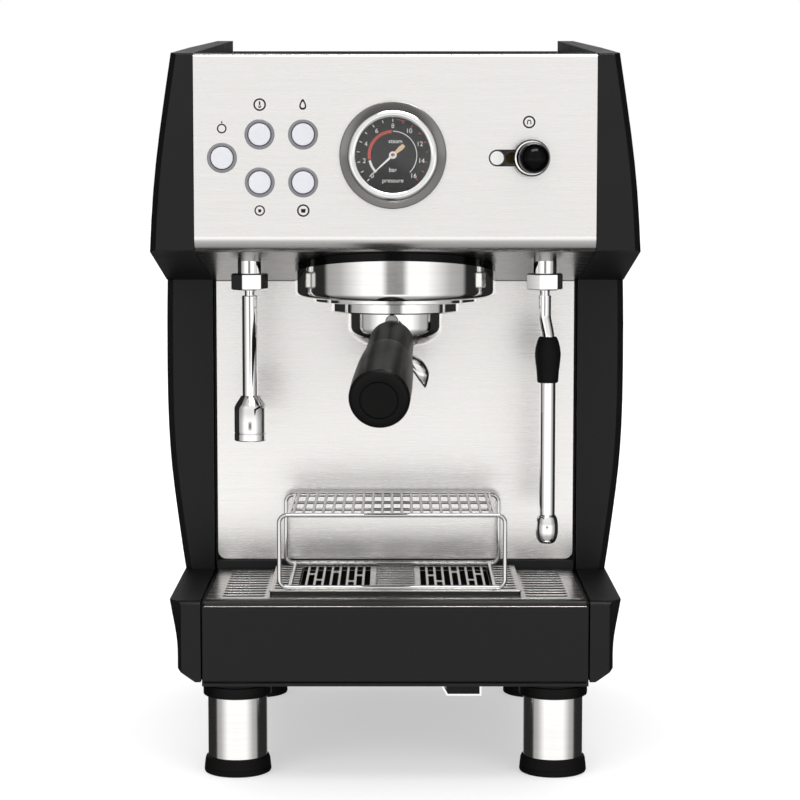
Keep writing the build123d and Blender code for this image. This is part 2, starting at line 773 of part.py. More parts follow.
with BuildPart() as hot_water_wand:
    with Locations((HOT_WATER_X, WAND_Y, BALL_Z)):
        Sphere(BALL_R)
    with BuildSketch(Plane.XY.offset(BALL_Z)):
        with Locations((HOT_WATER_X, WAND_Y)):
            Circle(NECK_R)
    extrude(amount=TUBE_TOP_Z - BALL_Z)
    with BuildSketch(Plane.XY.offset(TUBE_TOP_Z)):
        with Locations((HOT_WATER_X, WAND_Y)):
            Circle(5.0)
    extrude(amount=NOZZLE_TOP_Z - TUBE_TOP_Z)
save(hot_water_wand, "hot_water_wand")

with BuildPart() as hot_water_nozzle:
    nozzle_section = Plane(origin=(HOT_WATER_X, WAND_Y, 0), x_dir=(1, 0, 0), z_dir=(0, -1, 0))
    with BuildSketch(nozzle_section):
        with BuildLine():
            Polyline(
                (0, NOZZLE_TOP_Z), (5.4, NOZZLE_TOP_Z), (10.4, NOZZLE_TOP_Z - 7.4),
                (10.4, NOZZLE_BOTTOM_Z + 0.6), (9.8, NOZZLE_BOTTOM_Z), (8.4, NOZZLE_BOTTOM_Z),
                (8.4, NOZZLE_BOTTOM_Z + 14), (0, NOZZLE_BOTTOM_Z + 16), close=True,
            )
        make_face()
    revolve(axis=Axis((HOT_WATER_X, WAND_Y, 0), (0, 0, 1)))
save(hot_water_nozzle, "hot_water_nozzle")

STEAM_TUBE_R = 4.15
STEAM_LOWER_R = 5.1
STEAM_LOWER_Y = WAND_Y - 1.0
SLEEVE_TOP_Z, SLEEVE_BOTTOM_Z = 286.4, 256.7
TIP_TOP_Z, TIP_BOTTOM_Z = 170.2, 151.5

with BuildPart() as steam_wand:
    with Locations((STEAM_X, WAND_Y, BALL_Z)):
        Sphere(BALL_R)
    with BuildSketch(Plane.XY.offset(BALL_Z)):
        with Locations((STEAM_X, WAND_Y)):
            Circle(NECK_R)
    extrude(amount=TUBE_TOP_Z - BALL_Z)
    with BuildLine() as steam_path:
        FilletPolyline(
            (STEAM_X, WAND_Y, TUBE_TOP_Z),
            (STEAM_X, WAND_Y, 299.0),
            (STEAM_LOWER_X, STEAM_LOWER_Y, SLEEVE_TOP_Z + 1.0),
            (STEAM_LOWER_X, STEAM_LOWER_Y, SLEEVE_BOTTOM_Z + 4.0),
            radius=18,
        )
    with BuildSketch(Plane.XY.offset(TUBE_TOP_Z)):
        with Locations((STEAM_X, WAND_Y)):
            Circle(STEAM_TUBE_R)
    sweep(path=steam_path.line)
    with BuildSketch(Plane.XY.offset(TIP_TOP_Z)):
        with Locations((STEAM_LOWER_X, STEAM_LOWER_Y)):
            Circle(STEAM_LOWER_R)
    extrude(amount=SLEEVE_BOTTOM_Z + 4.0 - TIP_TOP_Z)
save(steam_wand, "steam_wand")

steam_low_axis = Axis((STEAM_LOWER_X, STEAM_LOWER_Y, 0), (0, 0, 1))
steam_low_section = Plane(
    origin=(STEAM_LOWER_X, STEAM_LOWER_Y, 0), x_dir=(1, 0, 0), z_dir=(0, -1, 0)
)

with BuildPart() as steam_sleeve:
    with BuildSketch(steam_low_section):
        with BuildLine():
            sleeve_outer = Spline(
                (5.4, SLEEVE_TOP_Z), (7.0, SLEEVE_TOP_Z - 2.6), (8.3, 274.5), (7.4, 266.0),
                (6.9, SLEEVE_BOTTOM_Z + 1),
            )
            Polyline(
                sleeve_outer @ 1, (6.4, SLEEVE_BOTTOM_Z), (0, SLEEVE_BOTTOM_Z),
                (0, SLEEVE_TOP_Z), sleeve_outer @ 0,
            )
        make_face()
    revolve(axis=steam_low_axis)
    # bore that fits the tube inside it
    add(steam_wand.part, mode=Mode.SUBTRACT)
save(steam_sleeve, "steam_sleeve")

with BuildPart() as steam_tip:
    with BuildSketch(steam_low_section):
        with BuildLine():
            tip_outer = Spline(
                (5.3, TIP_TOP_Z), (6.9, TIP_TOP_Z - 3.0), (7.4, TIP_TOP_Z - 9.0),
                (6.4, TIP_BOTTOM_Z + 3.0), (3.6, TIP_BOTTOM_Z),
                tangents=[(0.7, -1), (-1, -0.25)],
            )
            Polyline(tip_outer @ 1, (0, TIP_BOTTOM_Z), (0, TIP_TOP_Z), tip_outer @ 0)
        make_face()
    revolve(axis=steam_low_axis)
    with BuildSketch(Plane.XY.offset(TIP_BOTTOM_Z - 1)):
        with Locations((STEAM_LOWER_X, STEAM_LOWER_Y)):
            with PolarLocations(2.4, 4):
                Circle(0.6)
    extrude(amount=4, mode=Mode.SUBTRACT)
save(steam_tip, "steam_tip")

# ----------------------------------------------------------------- controls

RING_PROUD = 0.8

with BuildPart() as button_rings:
    with BuildSketch(Plane.XZ.offset(-HEAD_FRONT_Y)):
        with Locations(*BUTTONS.values()):
            Circle(BUTTON_RING_R)
            Circle(BUTTON_CAP_R + GAP, mode=Mode.SUBTRACT)
    extrude(amount=RING_PROUD)
    with BuildSketch(Plane.XZ.offset(-HEAD_FRONT_Y)):
        with Locations(*BUTTONS.values()):
            Circle(BUTTON_RING_R - 0.7)
            Circle(BUTTON_CAP_R + GAP, mode=Mode.SUBTRACT)
    extrude(amount=-6)
save(button_rings, "button_rings")

CAP_FRONT_Y = HEAD_FRONT_Y - 1.9
STEM_END_Y = -132.0


def button_cap(place):
    """Domed cap with the stem that reaches its switch."""
    with BuildPart() as cap:
        with BuildSketch(Plane.XZ.offset(-CAP_FRONT_Y)):
            with Locations(place):
                Circle(BUTTON_CAP_R)
        extrude(amount=-7)
        fillet(edges().group_by(Axis.Y)[0], 0.7)
        with BuildSketch(Plane.XZ.offset(-CAP_FRONT_Y - 7)):
            with Locations(place):
                Circle(2.2)
        extrude(amount=-(STEM_END_Y - CAP_FRONT_Y - 7))
    return cap


for name, place in BUTTONS.items():
    save(button_cap(place), name)

BOARD_Y = -124.0

with BuildPart() as control_board:
    with BuildSketch(Plane.XZ.offset(-BOARD_Y)):
        with Locations((-80, 401)):
            Rectangle(72, 58)
    extrude(amount=1.6)
    with BuildSketch(Plane.XZ.offset(-BOARD_Y + 1.6)):
        with Locations(*BUTTONS.values()):
            Rectangle(7, 7)
    extrude(amount=4.0)
    with BuildSketch(Plane.XZ.offset(-BOARD_Y)):
        with Locations((-96, 385), (-66, 380)):
            Rectangle(16, 12)
    extrude(amount=-8.0)
save(control_board, "control_board")

gauge_axis = Axis((GAUGE_X, 0, GAUGE_Z), (0, 1, 0))
# section plane for the gauge: local x is the radius, local y is the depth behind the panel
gauge_section = Plane(
    origin=(GAUGE_X, HEAD_FRONT_Y, GAUGE_Z), x_dir=(1, 0, 0), z_dir=(0, 0, 1)
)

with BuildPart() as gauge_bezel:
    with BuildSketch(gauge_section):
        with BuildLine():
            Polyline(
                (GAUGE_R, 0), (GAUGE_R, -1.6), (28.8, -6.4), (27.6, -7.0), (26.6, -6.6),
                (24.6, -3.0), (24.0, -2.6), (24.0, 0), close=True,
            )
        make_face()
    revolve(axis=gauge_axis)
save(gauge_bezel, "gauge_bezel")

with BuildPart() as gauge_case:
    with BuildSketch(gauge_section):
        with BuildLine():
            Polyline(
                (29.6, 0), (29.6, 27.0), (27.6, 30.0), (0, 30.0), (0, 28.5), (26.5, 28.5),
                (28.1, 26.5), (28.1, 0), close=True,
            )
        make_face()
    revolve(axis=gauge_axis)
    with BuildSketch(Plane.XZ.offset(-HEAD_FRONT_Y - 30)):
        with Locations((GAUGE_X, GAUGE_Z)):
            Circle(5)
    extrude(amount=-5)
save(gauge_case, "gauge_case")

with BuildPart() as gauge_dial:
    with BuildSketch(gauge_section):
        with BuildLine():
            Polyline(
                (0.9, 3.0), (27.8, 3.0), (27.8, 4.0), (0.9, 4.0), close=True,
            )
        make_face()
    revolve(axis=gauge_axis)
save(gauge_dial, "gauge_dial")

NEEDLE_REST = 228.0          # degrees clockwise from the top, seen from the front
needle_turn = radians(90 - NEEDLE_REST)
needle_plane = Plane(
    origin=(GAUGE_X, HEAD_FRONT_Y + 2.2, GAUGE_Z),
    x_dir=(cos(needle_turn), 0, sin(needle_turn)),
    z_dir=(0, -1, 0),
)

with BuildPart() as gauge_needle:
    with BuildSketch(needle_plane):
        with BuildLine():
            Polyline(
                (-9, 1.1), (-9, -1.1), (3, -0.9), (15.5, -0.2), (15.5, 0.2), (3, 0.9),
                close=True,
            )
        make_face()
        Circle(2.6)
    extrude(amount=0.5)
    with BuildSketch(needle_plane):
        Circle(0.6)
    extrude(amount=-3.8)
save(gauge_needle, "gauge_needle")

with BuildPart() as gauge_lens:
    with BuildSketch(gauge_section):
        with BuildLine():
            Polyline((0, -0.6), (23.8, -0.6), (23.8, -1.6), (0, -1.9), close=True)
        make_face()
    revolve(axis=gauge_axis)
save(gauge_lens, "gauge_lens")

STUD_R = 5.0
STUD_X = SLOT_LEFT_X + STUD_R + 0.1
LEVER_ROD_R = 2.6
LEVER_HUB_R = 6.0
LEVER_SWING = 16.0
lever_end_x = LEVER_X - 41 * tan(radians(LEVER_SWING))

with BuildPart() as lever_gate:
    # plate behind the slot in the panel, with the narrower slot that guides the rod
    with BuildSketch(Plane.XZ.offset(-HEAD_FRONT_Y - SHEET - GAP)):
        with Locations((73.5, LEVER_Z)):
            RectangleRounded(46, 20, 3)
        with Locations(((lever_end_x + LEVER_X) / 2, LEVER_Z)):
            SlotOverall(
                LEVER_X - lever_end_x + 2 * LEVER_ROD_R + 2.4,
                2 * LEVER_ROD_R + 1.6,
                mode=Mode.SUBTRACT,
            )
    extrude(amount=-1.2)
    with BuildSketch(Plane.XZ.offset(-HEAD_FRONT_Y - SHEET - GAP)):
        with Locations((STUD_X, LEVER_Z)):
            Circle(STUD_R)
    extrude(amount=SHEET + GAP + 0.5)
save(lever_gate, "lever_gate")

with BuildPart() as steam_lever:
    with BuildSketch(Plane.XY.offset(LEVER_Z - 10)):
        with Locations((LEVER_X, LEVER_PIVOT_Y)):
            Circle(LEVER_HUB_R)
    extrude(amount=20)
    with BuildSketch(Plane.XY.offset(LEVER_Z - 14)):
        with Locations((LEVER_X, LEVER_PIVOT_Y)):
            Circle(2.0)
    extrude(amount=28)
    with BuildSketch(Plane.XZ.offset(-LEVER_PIVOT_Y)):
        with Locations((LEVER_X, LEVER_Z)):
            Circle(LEVER_ROD_R)
    extrude(amount=LEVER_PIVOT_Y - LEVER_BALL_Y - LEVER_BALL_R + 3.0)
save(steam_lever, "steam_lever")

with BuildPart() as lever_ball:
    with Locations((LEVER_X, LEVER_BALL_Y, LEVER_Z)):
        Sphere(LEVER_BALL_R)
    # short collar at the back of the ball
    with BuildSketch(Plane.XZ.offset(-LEVER_BALL_Y)):
        with Locations((LEVER_X, LEVER_Z)):
            Circle(5.4)
    extrude(amount=-LEVER_BALL_R - 2.0)
    with BuildSketch(Plane.XZ.offset(-LEVER_BALL_Y - LEVER_BALL_R + 3.0)):
        with Locations((LEVER_X, LEVER_Z)):
            Circle(LEVER_ROD_R)
    extrude(amount=-40, mode=Mode.SUBTRACT)
save(lever_ball, "lever_ball")

VALVE_FRONT_Y = -92.0

with BuildPart() as steam_valve:
    with BuildSketch(Plane.XZ.offset(-VALVE_FRONT_Y)):
        with Locations((LEVER_X, LEVER_Z)):
            RectangleRounded(26, 30, 3)
    extrude(amount=-36)
    # ears that carry the lever's pin
    for low_z in (LEVER_Z - 13.6, LEVER_Z + 10.6):
        with BuildSketch(Plane.XY.offset(low_z)):
            with Locations((LEVER_X, (VALVE_FRONT_Y + LEVER_PIVOT_Y) / 2)):
                Rectangle(12, VALVE_FRONT_Y - LEVER_PIVOT_Y)
            with Locations((LEVER_X, LEVER_PIVOT_Y)):
                Circle(6)
            with Locations((LEVER_X, LEVER_PIVOT_Y)):
                Circle(2.05, mode=Mode.SUBTRACT)
        extrude(amount=3.0)
    with BuildSketch(Plane.XZ.offset(-VALVE_FRONT_Y + 1)):
        with Locations((LEVER_X, LEVER_Z)):
            Circle(3.05)
    extrude(amount=-22, mode=Mode.SUBTRACT)
    # steam outlet towards the wand
    with BuildSketch(Plane.XY.offset(NUT_TOP_Z + 22)):
        with Locations((STEAM_X - 4, VALVE_FRONT_Y + 4)):
            Circle(4)
    extrude(amount=LEVER_Z - 15 - NUT_TOP_Z - 22)
save(steam_valve, "steam_valve")

with BuildPart() as valve_plunger:
    with BuildSketch(Plane.XZ.offset(-LEVER_PIVOT_Y - LEVER_HUB_R - 0.4)):
        with Locations((LEVER_X, LEVER_Z)):
            Circle(3.0)
    extrude(amount=-28)
save(valve_plunger, "valve_plunger")

# ------------------------------------------------------ tray, grate and rack

FASCIA_HALF = 123.7
FASCIA_BOTTOM_Z, FASCIA_TOP_Z = 65.6, 115.2

with BuildPart() as tray_fascia:
    with BuildSketch(Plane.XZ.offset(-TRAY_FRONT_Y)):
        with Locations((0, (FASCIA_BOTTOM_Z + FASCIA_TOP_Z) / 2)):
            Rectangle(2 * FASCIA_HALF, FASCIA_TOP_Z - FASCIA_BOTTOM_Z)
    extrude(amount=TRAY_FRONT_Y - BASE_FRONT_Y)
    fillet(edges().filter_by(Axis.X).group_by(Axis.Y)[0], 1.6)
save(tray_fascia, "tray_fascia")

with BuildPart() as drip_tray:
    with BuildSketch(Plane.XY.offset(TRAY_BOTTOM_Z)):
        with Locations((0, (TRAY_FRONT_Y + TRAY_REAR_Y) / 2)):
            Rectangle(2 * TRAY_HALF, TRAY_REAR_Y - TRAY_FRONT_Y)
    extrude(amount=TRAY_TOP_Z - TRAY_BOTTOM_Z)
    with BuildSketch(Plane.XY.offset(TRAY_BOTTOM_Z + TRAY_WALL)):
        with Locations((0, (TRAY_FRONT_Y + TRAY_REAR_Y) / 2)):
            Rectangle(
                2 * (TRAY_HALF - TRAY_WALL), TRAY_REAR_Y - TRAY_FRONT_Y - 2 * TRAY_WALL
            )
    extrude(amount=50, mode=Mode.SUBTRACT)
    # rolled front rim above the fascia
    with BuildSketch(Plane.YZ.offset(-TRAY_HALF)):
        with BuildLine():
            FilletPolyline(
                (TRAY_FRONT_Y + 6, CHEEK_TOP_Z),
                (BASE_FRONT_Y + 0.4, CHEEK_TOP_Z),
                (BASE_FRONT_Y + 0.4, FASCIA_TOP_Z + 0.3),
                (TRAY_FRONT_Y + TRAY_WALL, FASCIA_TOP_Z + 0.3),
                (TRAY_FRONT_Y + TRAY_WALL, TRAY_TOP_Z),
                (TRAY_FRONT_Y + 6, TRAY_TOP_Z),
                radius=[2.0, 0.2, 0.2, 0.2],
                close=False,
            )
            Line((TRAY_FRONT_Y + 6, TRAY_TOP_Z), (TRAY_FRONT_Y + 6, CHEEK_TOP_Z))
        make_face()
    extrude(amount=2 * TRAY_HALF)
save(drip_tray, "drip_tray")

GRATE_HALF = 121.6
GRATE_FRONT_Y, GRATE_REAR_Y = TRAY_FRONT_Y + 6.6, TRAY_REAR_Y - 1.0
PLATE_HALF = 82.2
PLATE_FRONT_Y, PLATE_REAR_Y = -104.0, -2.6
SLOT_WIDTH = 3.2

with BuildPart() as drip_grate:
    grate_depth = GRATE_REAR_Y - GRATE_FRONT_Y
    grate_mid_y = (GRATE_REAR_Y + GRATE_FRONT_Y) / 2
    plate_mid_y = (PLATE_FRONT_Y + PLATE_REAR_Y) / 2
    with BuildSketch(Plane.XY.offset(TRAY_TOP_Z + 0.1)):
        with Locations((0, grate_mid_y)):
            RectangleRounded(2 * GRATE_HALF, grate_depth, 2)
    extrude(amount=SHEET)
    with BuildSketch(Plane.XY.offset(TRAY_TOP_Z + 0.1)):
        with Locations((0, plate_mid_y)):
            Rectangle(2 * PLATE_HALF, PLATE_REAR_Y - PLATE_FRONT_Y)
    extrude(amount=PLATE_TOP_Z - TRAY_TOP_Z - 0.1)
    fillet(edges().group_by(Axis.Z)[-1], 1.0)
    # hollow under the raised plate
    with BuildSketch(Plane.XY.offset(TRAY_TOP_Z)):
        with Locations((0, plate_mid_y)):
            Rectangle(2 * PLATE_HALF - 4, PLATE_REAR_Y - PLATE_FRONT_Y - 4)
    extrude(amount=PLATE_TOP_Z - SHEET - TRAY_TOP_Z, mode=Mode.SUBTRACT)
    with BuildSketch(Plane.XY.offset(TRAY_TOP_Z - 1)):
        # slots across the two wings
        with Locations((-100, grate_mid_y), (100, grate_mid_y)):
            with GridLocations(0, 9.2, 1, 11):
                SlotOverall(26, SLOT_WIDTH)
        # short slots at both ends of the raised plate
        with Locations((-69, plate_mid_y), (69, plate_mid_y)):
            with GridLocations(0, 8.4, 1, 10):
                SlotOverall(18, SLOT_WIDTH)
        # long slots that run front to back
        with Locations((-36, plate_mid_y), (36, plate_mid_y)):
            with GridLocations(6.4, 44, 7, 2):
                SlotOverall(38, SLOT_WIDTH, rotation=90)
        # fine slots in the middle
        with Locations((0, plate_mid_y)):
            with GridLocations(0, 6.2, 1, 14):
                SlotOverall(22, 2.4)
    extrude(amount=10, mode=Mode.SUBTRACT)
save(drip_grate, "drip_grate")

GRID_COUNT = 23
GRID_PITCH = 6.4


def rack_loop(y):
    """Rounded upright rectangle of wire, as a solid."""
    with BuildPart() as loop:
        with BuildLine(Plane.XZ.offset(-y)) as path:
            FilletPolyline(
                (RACK_X - RACK_HALF, RACK_BOTTOM_Z),
                (RACK_X - RACK_HALF, RACK_TOP_Z),
                (RACK_X + RACK_HALF, RACK_TOP_Z),
                (RACK_X + RACK_HALF, RACK_BOTTOM_Z),
                radius=5,
                close=True,
            )
        with BuildSketch(Plane(origin=path.line @ 0, z_dir=path.line % 0)):
            Circle(RACK_WIRE_R)
        sweep(path=path.line)
    return loop.part


with BuildPart() as cup_rack:
    add(rack_loop(RACK_FRONT_Y))
    add(rack_loop(RACK_REAR_Y))
    # runners and top sides, a little thinner than the loops they are welded to
    with BuildSketch(Plane.XZ.offset(-RACK_REAR_Y)):
        for side in (-1, 1):
            for z in (RACK_BOTTOM_Z, RACK_TOP_Z):
                with Locations((RACK_X + side * (RACK_HALF - 6.5), z)):
                    Circle(RACK_WIRE_R - 0.15)
    extrude(amount=RACK_REAR_Y - RACK_FRONT_Y)
    # grid wires, front to back, lying on the loops
    with BuildSketch(Plane.XZ.offset(-RACK_REAR_Y - 1.1)):
        with Locations((RACK_X, RACK_TOP_Z + 0.7)):
            with GridLocations(GRID_PITCH, 0, GRID_COUNT - 2, 1):
                Circle(GRID_WIRE_R)
    extrude(amount=RACK_REAR_Y - RACK_FRONT_Y + 2.2)
    # one cross wire under the middle of the grid
    with BuildSketch(Plane.YZ.offset(RACK_X - RACK_HALF + 5.5)):
        with Locations(((RACK_FRONT_Y + RACK_REAR_Y) / 2, RACK_TOP_Z - 0.5)):
            Circle(GRID_WIRE_R)
    extrude(amount=2 * (RACK_HALF - 5.5))
save(cup_rack, "cup_rack")

# -------------------------------------------------------------------- water

with BuildPart() as water_tank:
    with BuildSketch(Plane.XY.offset(TANK_BOTTOM_Z)):
        with Locations((0, (TANK_FRONT_Y + TANK_REAR_Y) / 2)):
            RectangleRounded(2 * TANK_HALF, TANK_REAR_Y - TANK_FRONT_Y, 12)
    extrude(amount=TANK_TOP_Z - TANK_BOTTOM_Z)
    with BuildSketch(Plane.XY.offset(TANK_BOTTOM_Z + TANK_WALL)):
        with Locations((0, (TANK_FRONT_Y + TANK_REAR_Y) / 2)):
            RectangleRounded(
                2 * (TANK_HALF - TANK_WALL), TANK_REAR_Y - TANK_FRONT_Y - 2 * TANK_WALL, 9.5
            )
    extrude(amount=400, mode=Mode.SUBTRACT)
save(water_tank, "water_tank")

LID_GAP = 0.5

with BuildPart() as tank_lid:
    with BuildSketch(Plane.XY.offset(TANK_TOP_Z + 0.5)):
        with Locations((0, (LID_FRONT_Y + LID_REAR_Y) / 2)):
            RectangleRounded(
                2 * (LID_OPENING_HALF - LID_GAP), LID_REAR_Y - LID_FRONT_Y - 2 * LID_GAP, 5.5
            )
    extrude(amount=4.4)
    fillet(edges().group_by(Axis.Z)[-1], 1.0)
    # finger dish at the front edge
    with BuildSketch(Plane.XY.offset(TANK_TOP_Z + 3)):
        with Locations((0, LID_FRONT_Y + 12)):
            SlotOverall(50, 14)
    extrude(amount=5, mode=Mode.SUBTRACT)
save(tank_lid, "tank_lid")

# ----------------------------------------------------------- inner machinery

with BuildPart() as pump:
    with BuildSketch(Plane.YZ.offset(-95)):
        with Locations((36, 152)):
            Circle(20)
    extrude(amount=70)
    with BuildSketch(Plane.YZ.offset(-25)):
        with Locations((36, 152)):
            Circle(9)
    extrude(amount=25)
    with BuildSketch(Plane.YZ.offset(-107)):
        with Locations((36, 152)):
            Circle(5)
    extrude(amount=14)
save(pump, "pump")

with BuildPart() as brew_boiler:
    with BuildSketch(Plane.XY.offset(HEAD_TOP_Z)):
        with Locations((0, GROUP_Y)):
            Circle(39)
    extrude(amount=98)
    fillet(edges().group_by(Axis.Z)[-1], 8)
save(brew_boiler, "brew_boiler")

with BuildPart() as steam_boiler:
    with BuildSketch(Plane.XY.offset(190)):
        with Locations((40, 36)):
            Circle(23)
    extrude(amount=120)
    fillet(edges(), 6)
save(steam_boiler, "steam_boiler")

ROCKER_Z = INLET_Z + 17.0
ROCKER_WIDTH, ROCKER_HEIGHT = 21.0, 12.0
ROCKER_PIVOT_Y = REAR_Y - 7.0

with BuildPart() as power_inlet:
    with BuildSketch(Plane.XZ.offset(-REAR_Y)):
        with Locations((INLET_X, INLET_Z)):
            RectangleRounded(INLET_WIDTH + 6, INLET_HEIGHT + 6, 3)
    extrude(amount=1.6)
    with BuildSketch(Plane.XZ.offset(-REAR_Y + 1.6)):
        with Locations((INLET_X, INLET_Z)):
            RectangleRounded(INLET_WIDTH, INLET_HEIGHT, 2)
    extrude(amount=28)
    # socket for the mains lead, with its three pins left standing below the mouth
    with BuildSketch(Plane.XZ.offset(-REAR_Y)):
        with Locations((INLET_X, INLET_Z - 10)):
            RectangleRounded(24.5, 16.5, 3)
    extrude(amount=5, mode=Mode.SUBTRACT)
    with BuildSketch(Plane.XZ.offset(-REAR_Y + 5)):
        with Locations((INLET_X, INLET_Z - 10)):
            RectangleRounded(24.5, 16.5, 3)
            with Locations((-7, -2), (0, 2), (7, -2)):
                Rectangle(2, 4, mode=Mode.SUBTRACT)
    extrude(amount=12, mode=Mode.SUBTRACT)
    # pocket for the rocker
    with BuildSketch(Plane.XZ.offset(-REAR_Y)):
        with Locations((INLET_X, ROCKER_Z)):
            Rectangle(ROCKER_WIDTH + 1, ROCKER_HEIGHT + 3)
    extrude(amount=15, mode=Mode.SUBTRACT)
save(power_inlet, "power_inlet")

with BuildPart() as power_rocker:
    with BuildSketch(Plane.YZ.offset(INLET_X - ROCKER_WIDTH / 2)):
        with BuildLine():
            Polyline(
                (ROCKER_PIVOT_Y - 3, ROCKER_Z - 3.5),
                (REAR_Y - 0.3, ROCKER_Z - 5.2),
                (REAR_Y - 2.2, ROCKER_Z),
                (REAR_Y - 2.2, ROCKER_Z + 5.2),
                (ROCKER_PIVOT_Y - 3, ROCKER_Z + 3.5),
                close=True,
            )
        make_face()
    extrude(amount=ROCKER_WIDTH)
save(power_rocker, "power_rocker")
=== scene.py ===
# %% [markdown]
# # Espresso machine
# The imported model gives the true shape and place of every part. This lesson puts a camera and
# soft lights round it, makes each finish out of shader nodes, and builds finer pieces where the
# plain engineering solid isn't enough: turned handles, bent wire, slotted steel, a printed dial.

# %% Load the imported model
import json
import math

import bpy
from mathutils import Matrix, Vector


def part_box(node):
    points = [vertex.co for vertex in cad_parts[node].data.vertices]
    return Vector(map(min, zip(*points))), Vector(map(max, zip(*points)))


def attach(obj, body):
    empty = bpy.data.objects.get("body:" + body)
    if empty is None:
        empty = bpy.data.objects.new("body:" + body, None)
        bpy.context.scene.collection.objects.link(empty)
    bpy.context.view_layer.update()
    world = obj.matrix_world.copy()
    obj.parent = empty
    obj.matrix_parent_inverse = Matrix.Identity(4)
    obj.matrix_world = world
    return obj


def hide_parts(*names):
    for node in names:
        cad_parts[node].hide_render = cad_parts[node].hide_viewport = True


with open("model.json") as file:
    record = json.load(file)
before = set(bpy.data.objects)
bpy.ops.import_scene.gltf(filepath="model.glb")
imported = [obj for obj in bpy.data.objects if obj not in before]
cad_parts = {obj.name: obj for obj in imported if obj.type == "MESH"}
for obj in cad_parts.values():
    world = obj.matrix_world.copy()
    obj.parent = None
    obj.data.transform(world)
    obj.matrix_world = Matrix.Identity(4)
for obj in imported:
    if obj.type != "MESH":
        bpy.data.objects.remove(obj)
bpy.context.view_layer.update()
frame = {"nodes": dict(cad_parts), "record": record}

nodes = frame["nodes"]
slot_of = {part["node"]: part["material_slot"] for part in frame["record"]["subparts"]}
scene = bpy.context.scene

# %% [markdown]
# ## Camera
# A product picture of a machine is taken from well back with a long lens, a little above the
# middle and tipped a few degrees down, so that upright edges stay nearly parallel.

# %% Camera
lens = bpy.data.cameras.new("product camera")
lens.lens = 108.0
lens.sensor_width = 36.0
lens.shift_x = 0.0059
lens.clip_end = 60.0
camera = bpy.data.objects.new("product camera", lens)
camera.location = (0.0, -1.6416, 0.3944)
camera.rotation_euler = (math.radians(90.0 - 5.5), 0.0, 0.0)
scene.collection.objects.link(camera)
scene.camera = camera
scene.view_settings.view_transform = "Standard"

# %% [markdown]
# ## Studio
# Polished metal shows whatever stands round it, so the room matters as much as the lamps. Here
# the world is the room: two wide white walls of light left and right of the camera, a grey stand
# between them at lens height, and dark curtains at the sides and behind that outline round metal.
# The floor is kept out of reflections, as a black table would be, so that chrome keeps its
# contrast while the floor itself stays white.


# %% Floor
def add_floor():
    """Pale floor that glows a little, like a lit table, so that shadows on it stay light."""
    mesh = bpy.data.meshes.new("floor")
    half = 25.0
    mesh.from_pydata([(-half, -half, 0), (half, -half, 0), (half, half, 0), (-half, half, 0)], [],
                     [(0, 1, 2, 3)])
    floor = bpy.data.objects.new("floor", mesh)
    floor.visible_glossy = False
    scene.collection.objects.link(floor)
    material = bpy.data.materials.new("pale floor")
    material.use_nodes = True
    tree = material.node_tree
    paint = tree.nodes["Principled BSDF"]
    cloud = tree.nodes.new("ShaderNodeTexNoise")
    cloud.inputs["Scale"].default_value = 3.0
    ramp = tree.nodes.new("ShaderNodeValToRGB")
    ramp.color_ramp.elements[0].color = (0.55, 0.55, 0.55, 1)
    ramp.color_ramp.elements[1].color = (0.58, 0.58, 0.58, 1)
    tree.links.new(cloud.outputs["Fac"], ramp.inputs["Fac"])
    tree.links.new(ramp.outputs["Color"], paint.inputs["Base Color"])
    paint.inputs["Roughness"].default_value = 0.7
    paint.inputs["Specular IOR Level"].default_value = 0.0
    tree.links.new(ramp.outputs["Color"], paint.inputs["Emission Color"])
    paint.inputs["Emission Strength"].default_value = 0.92
    mesh.materials.append(material)


add_floor()


# %% World
def add_math(tree, operation, first, second=None):
    """Math node fed by sockets or numbers."""
    node = tree.nodes.new("ShaderNodeMath")
    node.operation = operation
    for socket, value in zip(node.inputs, (first, second)):
        if value is None:
            continue
        if isinstance(value, (int, float)):
            socket.default_value = value
        else:
            tree.links.new(value, socket)
    return node.outputs["Value"]


def grey_ramp(tree, value, stops):
    """Grey level along a 0 to 1 value, from (position, level) stops."""
    ramp = tree.nodes.new("ShaderNodeValToRGB")
    elements = ramp.color_ramp.elements
    while len(elements) < len(stops):
        elements.new(0.5)
    for element, (position, level) in zip(elements, stops):
        element.position = position
        element.color = (level, level, level, 1)
    tree.links.new(value, ramp.inputs["Fac"])
    return ramp.outputs["Color"]


